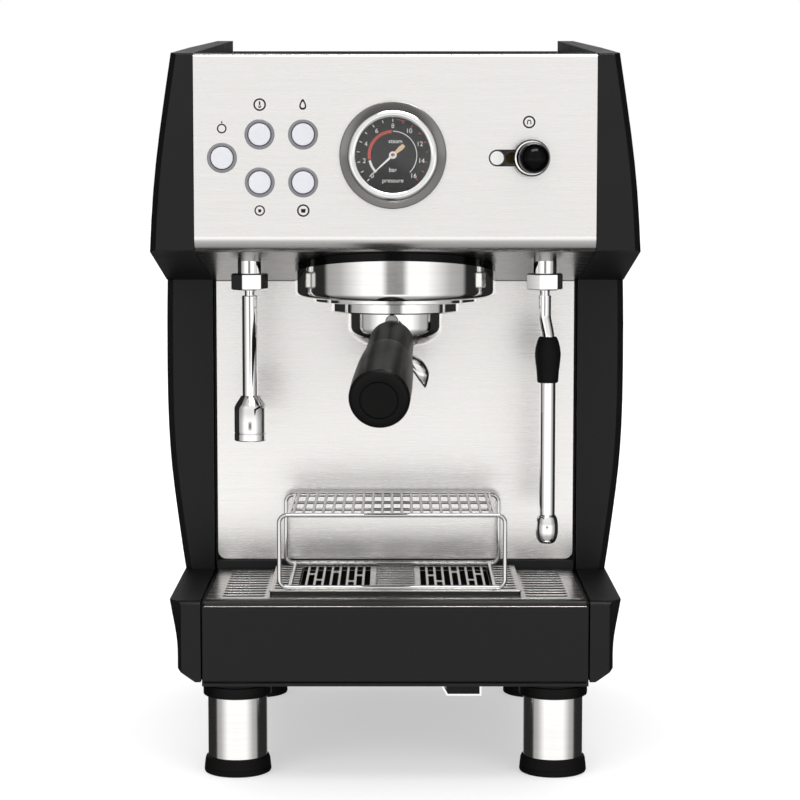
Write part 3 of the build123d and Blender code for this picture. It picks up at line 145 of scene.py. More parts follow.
def set_world(brightness):
    """The room by direction: angle from straight ahead of the machine, then height."""
    world = bpy.data.worlds.new("studio")
    scene.world = world
    world.use_nodes = True
    tree = world.node_tree
    direction = tree.nodes.new("ShaderNodeTexCoord").outputs["Generated"]
    split = tree.nodes.new("ShaderNodeSeparateXYZ")
    tree.links.new(direction, split.inputs["Vector"])
    ahead = add_math(tree, "MULTIPLY", split.outputs["Y"], -1.0)
    turn = add_math(tree, "ABSOLUTE", add_math(tree, "ARCTAN2", split.outputs["X"], ahead))
    share = add_math(tree, "DIVIDE", turn, math.pi)
    around = grey_ramp(tree, share, [
        (0.0, 1.0), (0.20, 1.0), (0.27, 0.74), (0.36, 0.42), (0.455, 0.34), (0.485, 0.02),
        (0.87, 0.02), (0.90, 0.3), (0.94, 0.3), (0.97, 0.08)])
    gap = grey_ramp(tree, share, [(0.0, 0.82), (0.045, 0.78), (0.085, 0.0)])
    height = add_math(tree, "MULTIPLY_ADD", split.outputs["Z"], 0.5)
    height.node.inputs[2].default_value = 0.5
    upright = grey_ramp(tree, height, [
        (0.0, 0.25), (0.25, 0.42), (0.38, 0.98), (0.485, 1.0), (0.525, 0.68), (0.78, 0.76),
        (0.88, 0.55), (1.0, 0.5)])
    lens_height = grey_ramp(tree, height, [(0.452, 0.0), (0.466, 1.0), (0.486, 1.0), (0.495, 0.0)])
    stand = add_math(tree, "SUBTRACT", 1.0, add_math(tree, "MULTIPLY", gap, lens_height))
    walls = add_math(tree, "MULTIPLY", around, upright)
    strength = add_math(tree, "MULTIPLY", walls, stand)
    room = tree.nodes["Background"]
    tree.links.new(add_math(tree, "MULTIPLY", strength, brightness), room.inputs["Strength"])
    room.inputs["Color"].default_value = (1.0, 0.997, 0.99, 1)
    backdrop = tree.nodes.new("ShaderNodeBackground")
    backdrop.inputs["Color"].default_value = (1, 1, 1, 1)
    seen = tree.nodes.new("ShaderNodeLightPath")
    mix = tree.nodes.new("ShaderNodeMixShader")
    tree.links.new(seen.outputs["Is Camera Ray"], mix.inputs["Fac"])
    tree.links.new(room.outputs["Background"], mix.inputs[1])
    tree.links.new(backdrop.outputs["Background"], mix.inputs[2])
    tree.links.new(mix.outputs["Shader"], tree.nodes["World Output"].inputs["Surface"])


set_world(1.24)


# %% Lamps
def add_panel(name, place, target, width, height, power, in_gloss=False):
    """Softbox: an area lamp aimed at a point, as a rule not seen in gloss."""
    lamp = bpy.data.lights.new(name, "AREA")
    lamp.shape = "RECTANGLE"
    lamp.size, lamp.size_y, lamp.energy = width, height, power
    softbox = bpy.data.objects.new(name, lamp)
    softbox.location = place
    aim = Vector(target) - Vector(place)
    softbox.rotation_euler = aim.to_track_quat("-Z", "Y").to_euler()
    softbox.visible_camera = False
    softbox.visible_glossy = in_gloss
    scene.collection.objects.link(softbox)
    return softbox


def add_sky(strength, spread_degrees):
    """Very soft light from straight above, which whitens the floor."""
    lamp = bpy.data.lights.new("soft sky", "SUN")
    lamp.energy = strength
    lamp.angle = math.radians(spread_degrees)
    sky = bpy.data.objects.new("soft sky", lamp)
    sky.rotation_euler = (math.radians(-12), 0, 0)
    sky.visible_glossy = False
    scene.collection.objects.link(sky)


middle = (0.0, -0.05, 0.28)
add_panel("left front panel", (-1.15, -1.75, 0.95), middle, 1.1, 1.5, 9)
add_panel("right front panel", (1.2, -1.7, 0.90), middle, 1.0, 1.5, 7)
# Seen only in gloss: it draws a highlight on black plastic and leaves the rest as it is.
strip = add_panel("gloss strip", (0.08, -0.52, 0.96), (0.0, -0.16, 0.38), 0.5, 0.2, 3.5, True)
strip.visible_diffuse = False
for side in (-1, 1):
    add_panel(f"back panel of side {side}", (side * 0.9, 2.3, 1.6), middle, 1.4, 0.9, 4.5, True)
add_sky(3.0, 80)

# %% [markdown]
# ## Shader groups
# Real finishes share a few effects. Each is a node group with named inputs, so that a finish
# only sets its own values: directional grain for brushed metal, a fine pebble for moulded
# plastic and powder coat, and a soft smudge where hands and cloths have been.


# %% Node group helpers
def new_group(name, inputs, outputs):
    """Empty shader node group with typed, named sockets."""
    group = bpy.data.node_groups.new(name, "ShaderNodeTree")
    for socket, kind, value in inputs:
        made = group.interface.new_socket(socket, in_out="INPUT", socket_type=kind)
        made.default_value = value
    for socket, kind in outputs:
        group.interface.new_socket(socket, in_out="OUTPUT", socket_type=kind)
    return group, group.nodes.new("NodeGroupInput"), group.nodes.new("NodeGroupOutput")


def stretched_noise(group, stretch, scale, detail, roughness=0.5):
    """Noise over the part's own coordinates, stretched by a vector socket."""
    place = group.nodes.new("ShaderNodeTexCoord")
    pull = group.nodes.new("ShaderNodeVectorMath")
    pull.operation = "MULTIPLY"
    noise = group.nodes.new("ShaderNodeTexNoise")
    noise.inputs["Scale"].default_value = scale
    noise.inputs["Detail"].default_value = detail
    noise.inputs["Roughness"].default_value = roughness
    group.links.new(place.outputs["Object"], pull.inputs[0])
    if isinstance(stretch, tuple):
        pull.inputs[1].default_value = stretch
    else:
        group.links.new(stretch, pull.inputs[1])
    group.links.new(pull.outputs["Vector"], noise.inputs["Vector"])
    return noise.outputs["Fac"]


def mapped(group, value, low, high, from_low=0.3, from_high=0.7):
    """Value moved from the noise's usual range to low..high, which may be sockets."""
    change = group.nodes.new("ShaderNodeMapRange")
    change.inputs["From Min"].default_value = from_low
    change.inputs["From Max"].default_value = from_high
    group.links.new(value, change.inputs["Value"])
    for socket, amount in (("To Min", low), ("To Max", high)):
        if isinstance(amount, (int, float)):
            change.inputs[socket].default_value = amount
        else:
            group.links.new(amount, change.inputs[socket])
    return change.outputs["Result"]


# %% [markdown]
# ### Brushed grain
# Brushing leaves fine scratches that all run one way. Noise that is stretched hard along that
# way gives them: one set of hair lines, and one broader set that makes soft streaks.

# %% Brushed grain group
GRAIN, group_in, group_out = new_group(
    "brushed grain",
    [("Stretch", "NodeSocketVector", (20.0, 900.0, 900.0)), ("Low", "NodeSocketFloat", 0.25),
     ("High", "NodeSocketFloat", 0.4)],
    [("Roughness", "NodeSocketFloat"), ("Lines", "NodeSocketFloat"), ("Streaks", "NodeSocketFloat")],
)
hair = stretched_noise(GRAIN, group_in.outputs["Stretch"], 2.6, 4.0, 0.6)
broad = stretched_noise(GRAIN, group_in.outputs["Stretch"], 0.25, 2.0)
GRAIN.links.new(hair, group_out.inputs["Lines"])
GRAIN.links.new(broad, group_out.inputs["Streaks"])
GRAIN.links.new(mapped(GRAIN, hair, group_in.outputs["Low"], group_in.outputs["High"]),
                group_out.inputs["Roughness"])

# %% [markdown]
# ### Pebble and smudge
# Moulded and powder-coated skins have a pebble well under a millimetre across. Over it lies a
# broad, faint change of gloss from handling. Polished metal gets only the second.

# %% Pebble and smudge group
SKIN, group_in, group_out = new_group(
    "pebble and smudge",
    [("Pebbles per metre", "NodeSocketFloat", 1800.0), ("Low", "NodeSocketFloat", 0.35),
     ("High", "NodeSocketFloat", 0.5)],
    [("Height", "NodeSocketFloat"), ("Roughness", "NodeSocketFloat"), ("Cloud", "NodeSocketFloat")],
)
place = SKIN.nodes.new("ShaderNodeTexCoord")
pebble = SKIN.nodes.new("ShaderNodeTexVoronoi")
pebble.feature = "SMOOTH_F1"
SKIN.links.new(place.outputs["Object"], pebble.inputs["Vector"])
SKIN.links.new(group_in.outputs["Pebbles per metre"], pebble.inputs["Scale"])
SKIN.links.new(pebble.outputs["Distance"], group_out.inputs["Height"])
cloud = stretched_noise(SKIN, (1.0, 1.0, 1.0), 22.0, 5.0, 0.65)
SKIN.links.new(cloud, group_out.inputs["Cloud"])
SKIN.links.new(mapped(SKIN, cloud, group_in.outputs["Low"], group_in.outputs["High"]),
               group_out.inputs["Roughness"])

# %% [markdown]
# ## Finishes
# Every finish is a Principled shader. The group's outputs drive its roughness, its tint and a
# bump. Numbers that are the same all over are set on the shader itself.


# %% Finish helpers
def new_finish(name, metallic=0.0, specular=0.5, coat=0.0, coat_roughness=0.1):
    """Empty node material and its Principled shader."""
    material = bpy.data.materials.new(name)
    material.use_nodes = True
    shader = material.node_tree.nodes["Principled BSDF"]
    shader.inputs["Metallic"].default_value = metallic
    shader.inputs["Specular IOR Level"].default_value = specular
    shader.inputs["Coat Weight"].default_value = coat
    shader.inputs["Coat Roughness"].default_value = coat_roughness
    return material, material.node_tree, shader


def tint_between(tree, shader, factor, dark, light, low=0.3, high=0.7):
    """Base colour that runs from dark to light with a factor."""
    ramp = tree.nodes.new("ShaderNodeValToRGB")
    ramp.color_ramp.elements[0].position, ramp.color_ramp.elements[1].position = low, high
    ramp.color_ramp.elements[0].color = (*dark, 1)
    ramp.color_ramp.elements[1].color = (*light, 1)
    tree.links.new(factor, ramp.inputs["Fac"])
    tree.links.new(ramp.outputs["Color"], shader.inputs["Base Color"])


def bump(tree, shader, height, strength, distance):
    """Bump from a height socket."""
    node = tree.nodes.new("ShaderNodeBump")
    node.inputs["Strength"].default_value = strength
    node.inputs["Distance"].default_value = distance
    tree.links.new(height, node.inputs["Height"])
    tree.links.new(node.outputs["Normal"], shader.inputs["Normal"])


def paint_underside_shade(tree, shader, share):
    """Painted shade: a darker base colour where the surface faces down."""
    facing = tree.nodes.new("ShaderNodeNewGeometry")
    split = tree.nodes.new("ShaderNodeSeparateXYZ")
    tree.links.new(facing.outputs["Normal"], split.inputs["Vector"])
    under = mapped(tree, split.outputs["Z"], share, 1.0, -0.975, -0.86)
    color = shader.inputs["Base Color"].links[0].from_socket
    scale = tree.nodes.new("ShaderNodeVectorMath")
    scale.operation = "SCALE"
    tree.links.new(color, scale.inputs["Vector"])
    tree.links.new(under, scale.inputs["Scale"])
    tree.links.new(scale.outputs["Vector"], shader.inputs["Base Color"])


def brushed(name, color, low, high, stretch, lines=0.06, relief=0.12, underside=1.0):
    """Brushed metal. stretch is small along the brushing and large across it."""
    material, tree, shader = new_finish(name, metallic=1.0)
    grain = tree.nodes.new("ShaderNodeGroup")
    grain.node_tree = GRAIN
    grain.inputs["Stretch"].default_value = stretch
    grain.inputs["Low"].default_value, grain.inputs["High"].default_value = low, high
    tree.links.new(grain.outputs["Roughness"], shader.inputs["Roughness"])
    mix = tree.nodes.new("ShaderNodeMix")
    mix.data_type = "FLOAT"
    mix.inputs["Factor"].default_value = 0.45
    tree.links.new(grain.outputs["Lines"], mix.inputs["A"])
    tree.links.new(grain.outputs["Streaks"], mix.inputs["B"])
    dark = [c * (1 - lines) for c in color]
    light = [min(1.0, c * (1 + lines)) for c in color]
    tint_between(tree, shader, mix.outputs["Result"], dark, light)
    bump(tree, shader, grain.outputs["Lines"], relief, 0.00006)
    # An underside share below 1 paints shade on down-facing faces.
    if underside < 1.0:
        paint_underside_shade(tree, shader, underside)
    return material


def skinned(name, color, low, high, pebbles=1800.0, relief=0.15, metallic=0.0, specular=0.5,
            coat=0.0, spread=0.25, depth=0.00008):
    """Plastic, paint, rubber or polished metal, with a pebble and a smudge."""
    material, tree, shader = new_finish(name, metallic, specular, coat)
    skin = tree.nodes.new("ShaderNodeGroup")
    skin.node_tree = SKIN
    skin.inputs["Pebbles per metre"].default_value = pebbles
    skin.inputs["Low"].default_value, skin.inputs["High"].default_value = low, high
    tree.links.new(skin.outputs["Roughness"], shader.inputs["Roughness"])
    dark = [c * (1 - spread / 2) for c in color]
    light = [min(1.0, c * (1 + spread / 2)) for c in color]
    tint_between(tree, shader, skin.outputs["Cloud"], dark, light)
    if relief:
        bump(tree, shader, skin.outputs["Height"], relief, depth)
    return material


# %% The finishes of this machine
ALONG_X = (9.0, 1400.0, 1400.0)
ROUND_Z = (30.0, 30.0, 1400.0)
finishes = {
    "satin_black": skinned("satin black shell", (0.0048, 0.0048, 0.005), 0.36, 0.46, specular=0.25),
    "black_paint": skinned("black powder coat", (0.011, 0.011, 0.0115), 0.45, 0.6, 1200.0, 0.3,
                           specular=0.3),
    "brushed_steel": brushed("brushed steel sheet", (0.95, 0.932, 0.916), 0.22, 0.30, ALONG_X,
                             0.022, 0.05),
    "plain_steel": brushed("rolled steel", (0.62, 0.61, 0.6), 0.28, 0.42, (120, 120, 160), 0.1),
    "polished_chrome": skinned("polished chrome", (0.93, 0.925, 0.92), 0.03, 0.08, relief=0,
                               metallic=1.0, spread=0.04),
    "wire_steel": skinned("polished wire", (0.70, 0.695, 0.69), 0.05, 0.11, relief=0, metallic=1.0,
                          spread=0.08),
    "brass": skinned("drawn brass", (0.72, 0.5, 0.2), 0.25, 0.4, relief=0, metallic=1.0),
    "black_rubber": skinned("black rubber", (0.0035, 0.0035, 0.0035), 0.5, 0.7, 2400.0, 0.25,
                            specular=0.12),
    "soft_black": skinned("fine matte black", (0.003, 0.0029, 0.0028), 0.33, 0.44, 2600.0, 0.1,
                          specular=0.14),
    "gloss_black": skinned("gloss black", (0.0012, 0.0012, 0.0013), 0.06, 0.12, relief=0,
                           specular=0.12),
    "white_cap": skinned("frosted white cap", (0.61, 0.615, 0.65), 0.28, 0.4, 2600.0, 0.05,
                         spread=0.05),
    "ring_grey": skinned("grey ring", (0.18, 0.18, 0.195), 0.3, 0.42, 2600.0, 0.05, specular=0.5,
                         spread=0.08),
    "bezel_metal": skinned("polished bezel", (0.90, 0.895, 0.89), 0.08, 0.16, relief=0,
                           metallic=1.0, spread=0.06),
    "dial_black": skinned("printed dial black", (0.0035, 0.0032, 0.0032), 0.5, 0.62, relief=0,
                          specular=0.1),
    "needle_white": skinned("needle white", (0.86, 0.85, 0.82), 0.35, 0.5, relief=0, spread=0.04),
    "ptfe": skinned("white seal", (0.8, 0.8, 0.77), 0.4, 0.55, relief=0, spread=0.06),
    "board_green": skinned("lacquered board", (0.02, 0.12, 0.05), 0.25, 0.4, 900.0, 0.1),
}


def clear_plastic(name, color, roughness, specular):
    """Clear sheet: the pebble only clouds its roughness a little."""
    material, tree, shader = new_finish(name, specular=specular)
    skin = tree.nodes.new("ShaderNodeGroup")
    skin.node_tree = SKIN
    skin.inputs["Low"].default_value = roughness
    skin.inputs["High"].default_value = roughness * 1.6
    tree.links.new(skin.outputs["Roughness"], shader.inputs["Roughness"])
    tint_between(tree, shader, skin.outputs["Cloud"], [c * 0.97 for c in color], color)
    shader.inputs["Transmission Weight"].default_value = 1.0
    shader.inputs["IOR"].default_value = 1.46
    return material


finishes["clear_lens"] = clear_plastic("gauge glass", (0.97, 0.98, 0.98), 0.01, 0.1)
finishes["clear_tank"] = clear_plastic("smoked clear tank", (0.62, 0.66, 0.7), 0.05, 0.5)
grain_round = brushed("turned steel", (0.88, 0.87, 0.86), 0.12, 0.2, ROUND_Z)
shaded_steel = brushed("steel in the shade", (0.045, 0.044, 0.043), 0.35, 0.45, ALONG_X, 0.08, 0.08)
# Painted shade: the lever gate is coloured near black to stand for the shade inside the slot.
gate_painted_shade = skinned("gate with painted slot shade", (0.045, 0.044, 0.043), 0.5, 0.6, specular=0.2)
print(len(finishes), "finishes")

# %% [markdown]
# ## Finishes on the imported parts
# Each imported part already has the right shape, so it keeps its mesh and gets a finish from its
# slot. Turned tubes and the small chute take the turned steel. The tray is shaded by the grate over
# it, the gate behind the lever's slot is darkened as painted shade in the slot, and the front sheet
# has painted shade on its underside.

# %% Dress the imported parts
# Painted shade: where this sheet faces down, its base colour drops to 0.17 of itself.
front_sheet = brushed("front sheet", (0.95, 0.932, 0.916), 0.22, 0.30, ALONG_X, 0.022, 0.05, 0.17)
own_finish = {"leg_tubes": grain_round, "drain_chute": grain_round, "drip_tray": shaded_steel,
              "lever_gate": gate_painted_shade, "front_panel": front_sheet}
for name, part in nodes.items():
    chosen = own_finish.get(name, finishes[slot_of[name]])
    part.data.materials.clear()
    part.data.materials.append(chosen)

# %% [markdown]
# ## Making pieces
# Most of the finer pieces are turned, bent or cut from sheet, so three helpers make nearly
# everything: a lathe that spins a profile, a wire that follows a rounded path, and a cut plate,
# which is a filled flat curve whose inner outlines become holes with softened edges.

# %% Shared piece helpers
MM = 0.001


def settle(piece, body, slot, finish=None, replaced=()):
    """Give a new piece its finish (its slot's, if none is named), body and replaced parts."""
    piece.data.materials.clear()
    piece.data.materials.append(finish or finishes[slot])
    scene.collection.objects.link(piece)
    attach(piece, body)
    if replaced:
        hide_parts(*replaced)
    return piece


def soften(piece, width_mm, angle=32.0, segments=2):
    """Small rounded edges, which catch a line of light as real edges do."""
    edge = piece.modifiers.new("soft edges", "BEVEL")
    edge.width = width_mm * MM
    edge.segments = segments
    edge.limit_method = "ANGLE"
    edge.angle_limit = math.radians(angle)
    edge.harden_normals = True
    return piece


def shade(mesh, angle=32.0):
    """Smooth faces, sharp where they meet at more than the angle."""
    mesh.shade_smooth()
    mesh.set_sharp_from_angle(angle=math.radians(angle))


def lathe(name, profile, centre, axis=(0, 0, 1), segments=96):
    """Spin (radius, height) points in millimetres round an axis through a centre."""
    turn = Vector(axis).to_track_quat("Z", "Y").to_matrix()
    centre = Vector(centre) * MM
    points, rings = [], []
    for radius, height in profile:
        count = 1 if radius == 0 else segments
        rings.append(range(len(points), len(points) + count))
        for step in range(count):
            a = 2 * math.pi * step / segments
            local = Vector((radius * math.cos(a), radius * math.sin(a), height)) * MM
            points.append(centre + turn @ local)
    faces = []
    for low, high in zip(rings, rings[1:]):
        for step in range(segments):
            after = (step + 1) % segments
            corners = [low[step % len(low)], low[after % len(low)],
                       high[after % len(high)], high[step % len(high)]]
            face = list(dict.fromkeys(corners))
            if len(face) > 2:
                faces.append(face)
    mesh = bpy.data.meshes.new(name)
    mesh.from_pydata(points, [], faces)
    mesh.validate()
    shade(mesh)
    return bpy.data.objects.new(name, mesh)


def spin(body, name, profile, centre, axis=(0, 0, 1), segments=96, slot="polished_chrome",
         finish=None, replaced=()):
    """Lathe a piece and settle it in one go."""
    return settle(lathe(name, profile, centre, axis, segments), body, slot, finish, replaced)


def arc_corners(points, radius, closed=False, steps=6):
    """Points in millimetres with each corner rounded to a radius."""
    points = [Vector(p) for p in points]
    count = len(points)
    rounded = []
    for i, corner in enumerate(points):
        if not closed and i in (0, count - 1):
            rounded.append(corner)
            continue
        back = (points[i - 1] - corner).normalized()
        ahead = (points[(i + 1) % count] - corner).normalized()
        half = back.angle(ahead) / 2
        reach = radius / math.tan(half)
        middle = corner + (back + ahead).normalized() * (radius / math.sin(half))
        start, end = corner + back * reach, corner + ahead * reach
        for step in range(steps + 1):
            spoke = (start - middle).lerp(end - middle, step / steps).normalized()
            rounded.append(middle + spoke * radius)
    return rounded


def wire(name, paths, thickness_mm, closed=False):
    """Round wire of one thickness along one or more paths, in millimetres."""
    curve = bpy.data.curves.new(name, "CURVE")
    curve.dimensions = "3D"
    curve.bevel_depth = thickness_mm / 2 * MM
    curve.bevel_resolution = 5
    curve.use_fill_caps = True
    for path in paths:
        spline = curve.splines.new("POLY")
        spline.points.add(len(path) - 1)
        for point, place in zip(spline.points, path):
            point.co = (*(Vector(place) * MM), 1)
        spline.use_cyclic_u = closed
    return bpy.data.objects.new(name, curve)


def cut_plate(name, outlines, thickness_mm, edge_mm, place, facing="up"):
    """Flat plate from closed outlines in millimetres; inner outlines are holes."""
    curve = bpy.data.curves.new(name, "CURVE")
    curve.dimensions = "2D"
    curve.fill_mode = "BOTH"
    curve.extrude = (thickness_mm / 2 - edge_mm) * MM
    curve.bevel_depth = edge_mm * MM
    curve.bevel_resolution = 1
    curve.offset = -edge_mm * MM
    for outline in outlines:
        spline = curve.splines.new("POLY")
        spline.points.add(len(outline) - 1)
        for point, (x, y) in zip(spline.points, outline):
            point.co = (x * MM, y * MM, 0, 1)
        spline.use_cyclic_u = True
    plate = bpy.data.objects.new(name, curve)
    plate.location = Vector(place) * MM
    if facing == "front":
        plate.rotation_euler = (math.radians(90), 0, 0)
    return plate


def ring_outline(x, y, radius, count=32):
    """Circle as points."""
    turns = [2 * math.pi * i / count for i in range(count)]
    return [(x + radius * math.cos(a), y + radius * math.sin(a)) for a in turns]


def slot_outline(x, y, length, width, upright=False, steps=5):
    """Slot with round ends as points, centred on x, y."""
    reach = (length - width) / 2
    points = []
    for side in (1, -1):
        for step in range(steps + 1):
            a = math.radians(-90 + 180 * step / steps) + (0 if side == 1 else math.pi)
            points.append((side * reach + width / 2 * math.cos(a), width / 2 * math.sin(a)))
    if upright:
        points = [(-b, a) for a, b in points]
    return [(x + a, y + b) for a, b in points]


def rounded_box(x, y, width, height, radius):
    """Rectangle with round corners as points, centred on x, y."""
    w, h = width / 2, height / 2
    corners = [(x - w, y - h, 0), (x + w, y - h, 0), (x + w, y + h, 0), (x - w, y + h, 0)]
    return [(p.x, p.y) for p in arc_corners(corners, radius, closed=True, steps=4)]


def box_mm(node):
    """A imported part's low and high corners in millimetres."""
    low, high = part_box(node)
    return low / MM, high / MM


# %% [markdown]
# ## Slotted grate
# The grate is one pressed sheet: a low wing each side and a raised middle plate. Punched slots
# leave rounded edges. A filled curve with holes gives exactly that, bevel and all.

# %% Grate
grate_low, grate_high = box_mm("drip_grate")
rack_low, rack_high = box_mm("cup_rack")
PLATE_HALF, PLATE_THICK, WING_TOP = 82.2, 0.7, 1.5
plate_front, plate_rear = -104.0, -2.6
plate_middle = (plate_front + plate_rear) / 2
plate_depth = plate_rear - plate_front
wing_middle = (grate_low.y + grate_high.y) / 2
wing_depth = grate_high.y - grate_low.y

wings = [rounded_box(0, wing_middle, grate_high.x - grate_low.x, wing_depth, 2.0)]
wings.append(rounded_box(0, plate_middle, 2 * PLATE_HALF - 5, plate_depth - 5, 1.5))
for side in (-1, 1):
    for row in range(11):
        y = wing_middle + (row - 5) * 9.4
        wings.append(slot_outline(side * 98.2, y, 28.0, 6.0))
wing_z = grate_low.z + WING_TOP - PLATE_THICK / 2
wing_sheet = cut_plate("grate_wings", wings, PLATE_THICK, 0.2, (0, 0, wing_z))
grate_steel = brushed("grate steel", (0.60, 0.588, 0.575), 0.2, 0.3, ALONG_X, 0.05, 0.08)
settle(wing_sheet, "grate", "brushed_steel", grate_steel, ["drip_grate"])

holes = [rounded_box(0, plate_middle, 2 * PLATE_HALF, plate_depth, 1.5)]
bar_breaks = (0, 9, -14, 0, 22, 0, -9, 14, 0)
for side in (-1, 1):
    for row in range(10):
        y = plate_middle + (row - 4.5) * 9.2
        holes.append(slot_outline(side * 70.8, y, 16.6, 6.0))
    for column, gap in enumerate(bar_breaks):
        x = side * (18.6 + column * 5.35)
        if gap == 0:
            holes.append(slot_outline(x, plate_middle, 91.0, 3.7, True))
            continue
        for low, high in ((-45.5, gap - 2.0), (gap + 2.0, 45.5)):
            middle = plate_middle + (low + high) / 2
            holes.append(slot_outline(x, middle, high - low, 3.7, True))
for row in range(14):
    holes.append(slot_outline(0, plate_middle + (row - 6.5) * 6.9, 27.0, 4.9))
plate_z = grate_high.z - PLATE_THICK / 2
middle_sheet = cut_plate("grate_plate", holes, PLATE_THICK, 0.2, (0, 0, plate_z))
settle(middle_sheet, "grate", "brushed_steel", grate_steel)

skirt_path = [(-PLATE_HALF + 0.7, plate_front + 0.7, 0), (PLATE_HALF - 0.7, plate_front + 0.7, 0),
              (PLATE_HALF - 0.7, plate_rear - 0.7, 0), (-PLATE_HALF + 0.7, plate_rear - 0.7, 0)]
skirt_low, skirt_high = grate_low.z, grate_high.z - PLATE_THICK + 0.3


def band(name, path, low, high, wall):
    """Upright closed band of sheet along a flat path, in millimetres."""
    inner_centre = sum(path, Vector()) / len(path)
    points, faces, count = [], [], len(path)
    for inset, z in ((0, low), (0, high), (wall, high), (wall, low)):
        for p in path:
            q = p + (inner_centre - p).normalized() * inset * 1.4
            points.append((q.x * MM, q.y * MM, z * MM))
    for ring in range(4):
        for i in range(count):
            j = (i + 1) % count
            other = (ring + 1) % 4
            faces.append((ring * count + i, ring * count + j, other * count + j, other * count + i))
    mesh = bpy.data.meshes.new(name)
    mesh.from_pydata(points, [], faces)
    shade(mesh)
    return bpy.data.objects.new(name, mesh)


skirt = band("grate_skirt", arc_corners(skirt_path, 2.0, closed=True), skirt_low, skirt_high, 1.2)
settle(skirt, "grate", "brushed_steel", shaded_steel)

# %% [markdown]
# A row of narrow slots seen at a low angle shows mostly the shade below. A blackened sheet just
# under the slotted ends, the centre and the wings stands in for that depth.

# %% Shade under the slots and a painted highlight along the fascia
shade_black = skinned("shade under slots", (0.004, 0.004, 0.004), 0.6, 0.7, specular=0.1)
shade_wings = [rounded_box(side * 98.2, wing_middle, 29.5, wing_depth - 8, 1.0) for side in (-1, 1)]
shade_plate = [rounded_box(side * 70.8, plate_middle, 17.6, plate_depth - 8, 1.0) for side in (-1, 1)]
shade_plate.append(rounded_box(0, plate_middle, 29.0, plate_depth - 8, 1.0))
for name, outlines, z in (("wing_shade", shade_wings, wing_z), ("plate_shade", shade_plate, plate_z)):
    sheet = cut_plate(name, outlines, 0.2, 0.0, (0, 0, z - PLATE_THICK / 2 - 0.12))
    settle(sheet, "grate", "brushed_steel", shade_black)

fascia_low, fascia_high = box_mm("tray_fascia")
# Painted highlight: a thin bright steel wire on the fascia's top front edge stands for the highlight along
# it.
FASCIA_HIGHLIGHT_Z = 115.2
line = wire("fascia_painted_highlight", [[(fascia_low.x + 1, fascia_low.y + 0.15, FASCIA_HIGHLIGHT_Z),
                             (fascia_high.x - 1, fascia_low.y + 0.15, FASCIA_HIGHLIGHT_Z)]], 0.7)
settle(line, "tray", "satin_black", grate_steel)
print("grate", len(wings) + len(holes) - 3, "slots")

# %% [markdown]
# ## Cup rack
# Two upright loops of bent wire, joined by runners below and a grid of thinner wires on top,
# welded where they cross. Each wire is its own curve, with a bend radius at every corner.

# %% Cup rack
LOOP_WIRE, GRID_WIRE, BEND = 2.8, 2.0, 5.0
left_x, right_x = rack_low.x + LOOP_WIRE / 2, rack_high.x - LOOP_WIRE / 2
low_z = rack_low.z + LOOP_WIRE / 2
high_z = low_z + 47.3
front_y, rear_y = -102.0, -4.0


def rack_hoop(y):
    """One upright hoop at depth y."""
    corners = [(left_x, y, low_z), (left_x, y, high_z), (right_x, y, high_z), (right_x, y, low_z)]
    return arc_corners(corners, BEND, closed=True, steps=10)


hoops = wire("rack_hoops", [rack_hoop(front_y), rack_hoop(rear_y)], LOOP_WIRE, closed=True)
settle(hoops, "rack", "wire_steel", replaced=["cup_rack"])
runner_x = (left_x + 6.5, right_x - 6.5)
runners = wire("rack_runners", [[(x, front_y, z), (x, rear_y, z)] for x in runner_x
                                for z in (low_z, high_z)], LOOP_WIRE - 0.3)
settle(runners, "rack", "wire_steel")
span = right_x - left_x
grid_x = [left_x + span / 2 + (i - 10) * 6.4 for i in range(21)]
grid_z = high_z + 0.8
grid = wire("rack_grid", [[(x, front_y - 1.0, grid_z), (x, rear_y + 1.0, grid_z)] for x in grid_x],
            GRID_WIRE)
# The grid wires are darker than the loops.
grid_steel = skinned("darker grid wire", (0.33, 0.325, 0.32), 0.1, 0.2, relief=0, metallic=1.0, spread=0.1)
settle(grid, "rack", "wire_steel", grid_steel)
cross_y = (front_y + 33, front_y + 66)
crossings = wire("rack_crossings", [[(left_x + 6, y, high_z - 0.9), (right_x - 6, y, high_z - 0.9)]
                                    for y in cross_y], GRID_WIRE)
settle(crossings, "rack", "wire_steel", grid_steel)
print("rack", round(span, 1), "mm wide,", len(grid_x), "grid wires")

# %% [markdown]
# ## Group cover and collar
# The cover is a spun steel drum. Its top edge is cut at the slope of the head's underside, so
# after spinning the drum, the points above the slope are brought down onto it.

# %% Group cover
HEAD_FRONT, CHIN_Z, CHIN_SLOPE = -150.0, 344.0, 26.0 / 156.0
SPACER_HEIGHT, JOINT = 5.07, 0.02


def trim_to_slope(piece, below_mm, floor_mm):
    """Bring every point above the sloped plane, and above a floor height, onto it."""
    for vertex in piece.data.vertices:
        slope_z = CHIN_Z - (vertex.co.y / MM - HEAD_FRONT) * CHIN_SLOPE - below_mm
        if vertex.co.z > floor_mm * MM:
            vertex.co.z = slope_z * MM
    piece.data.update()
    shade(piece.data)


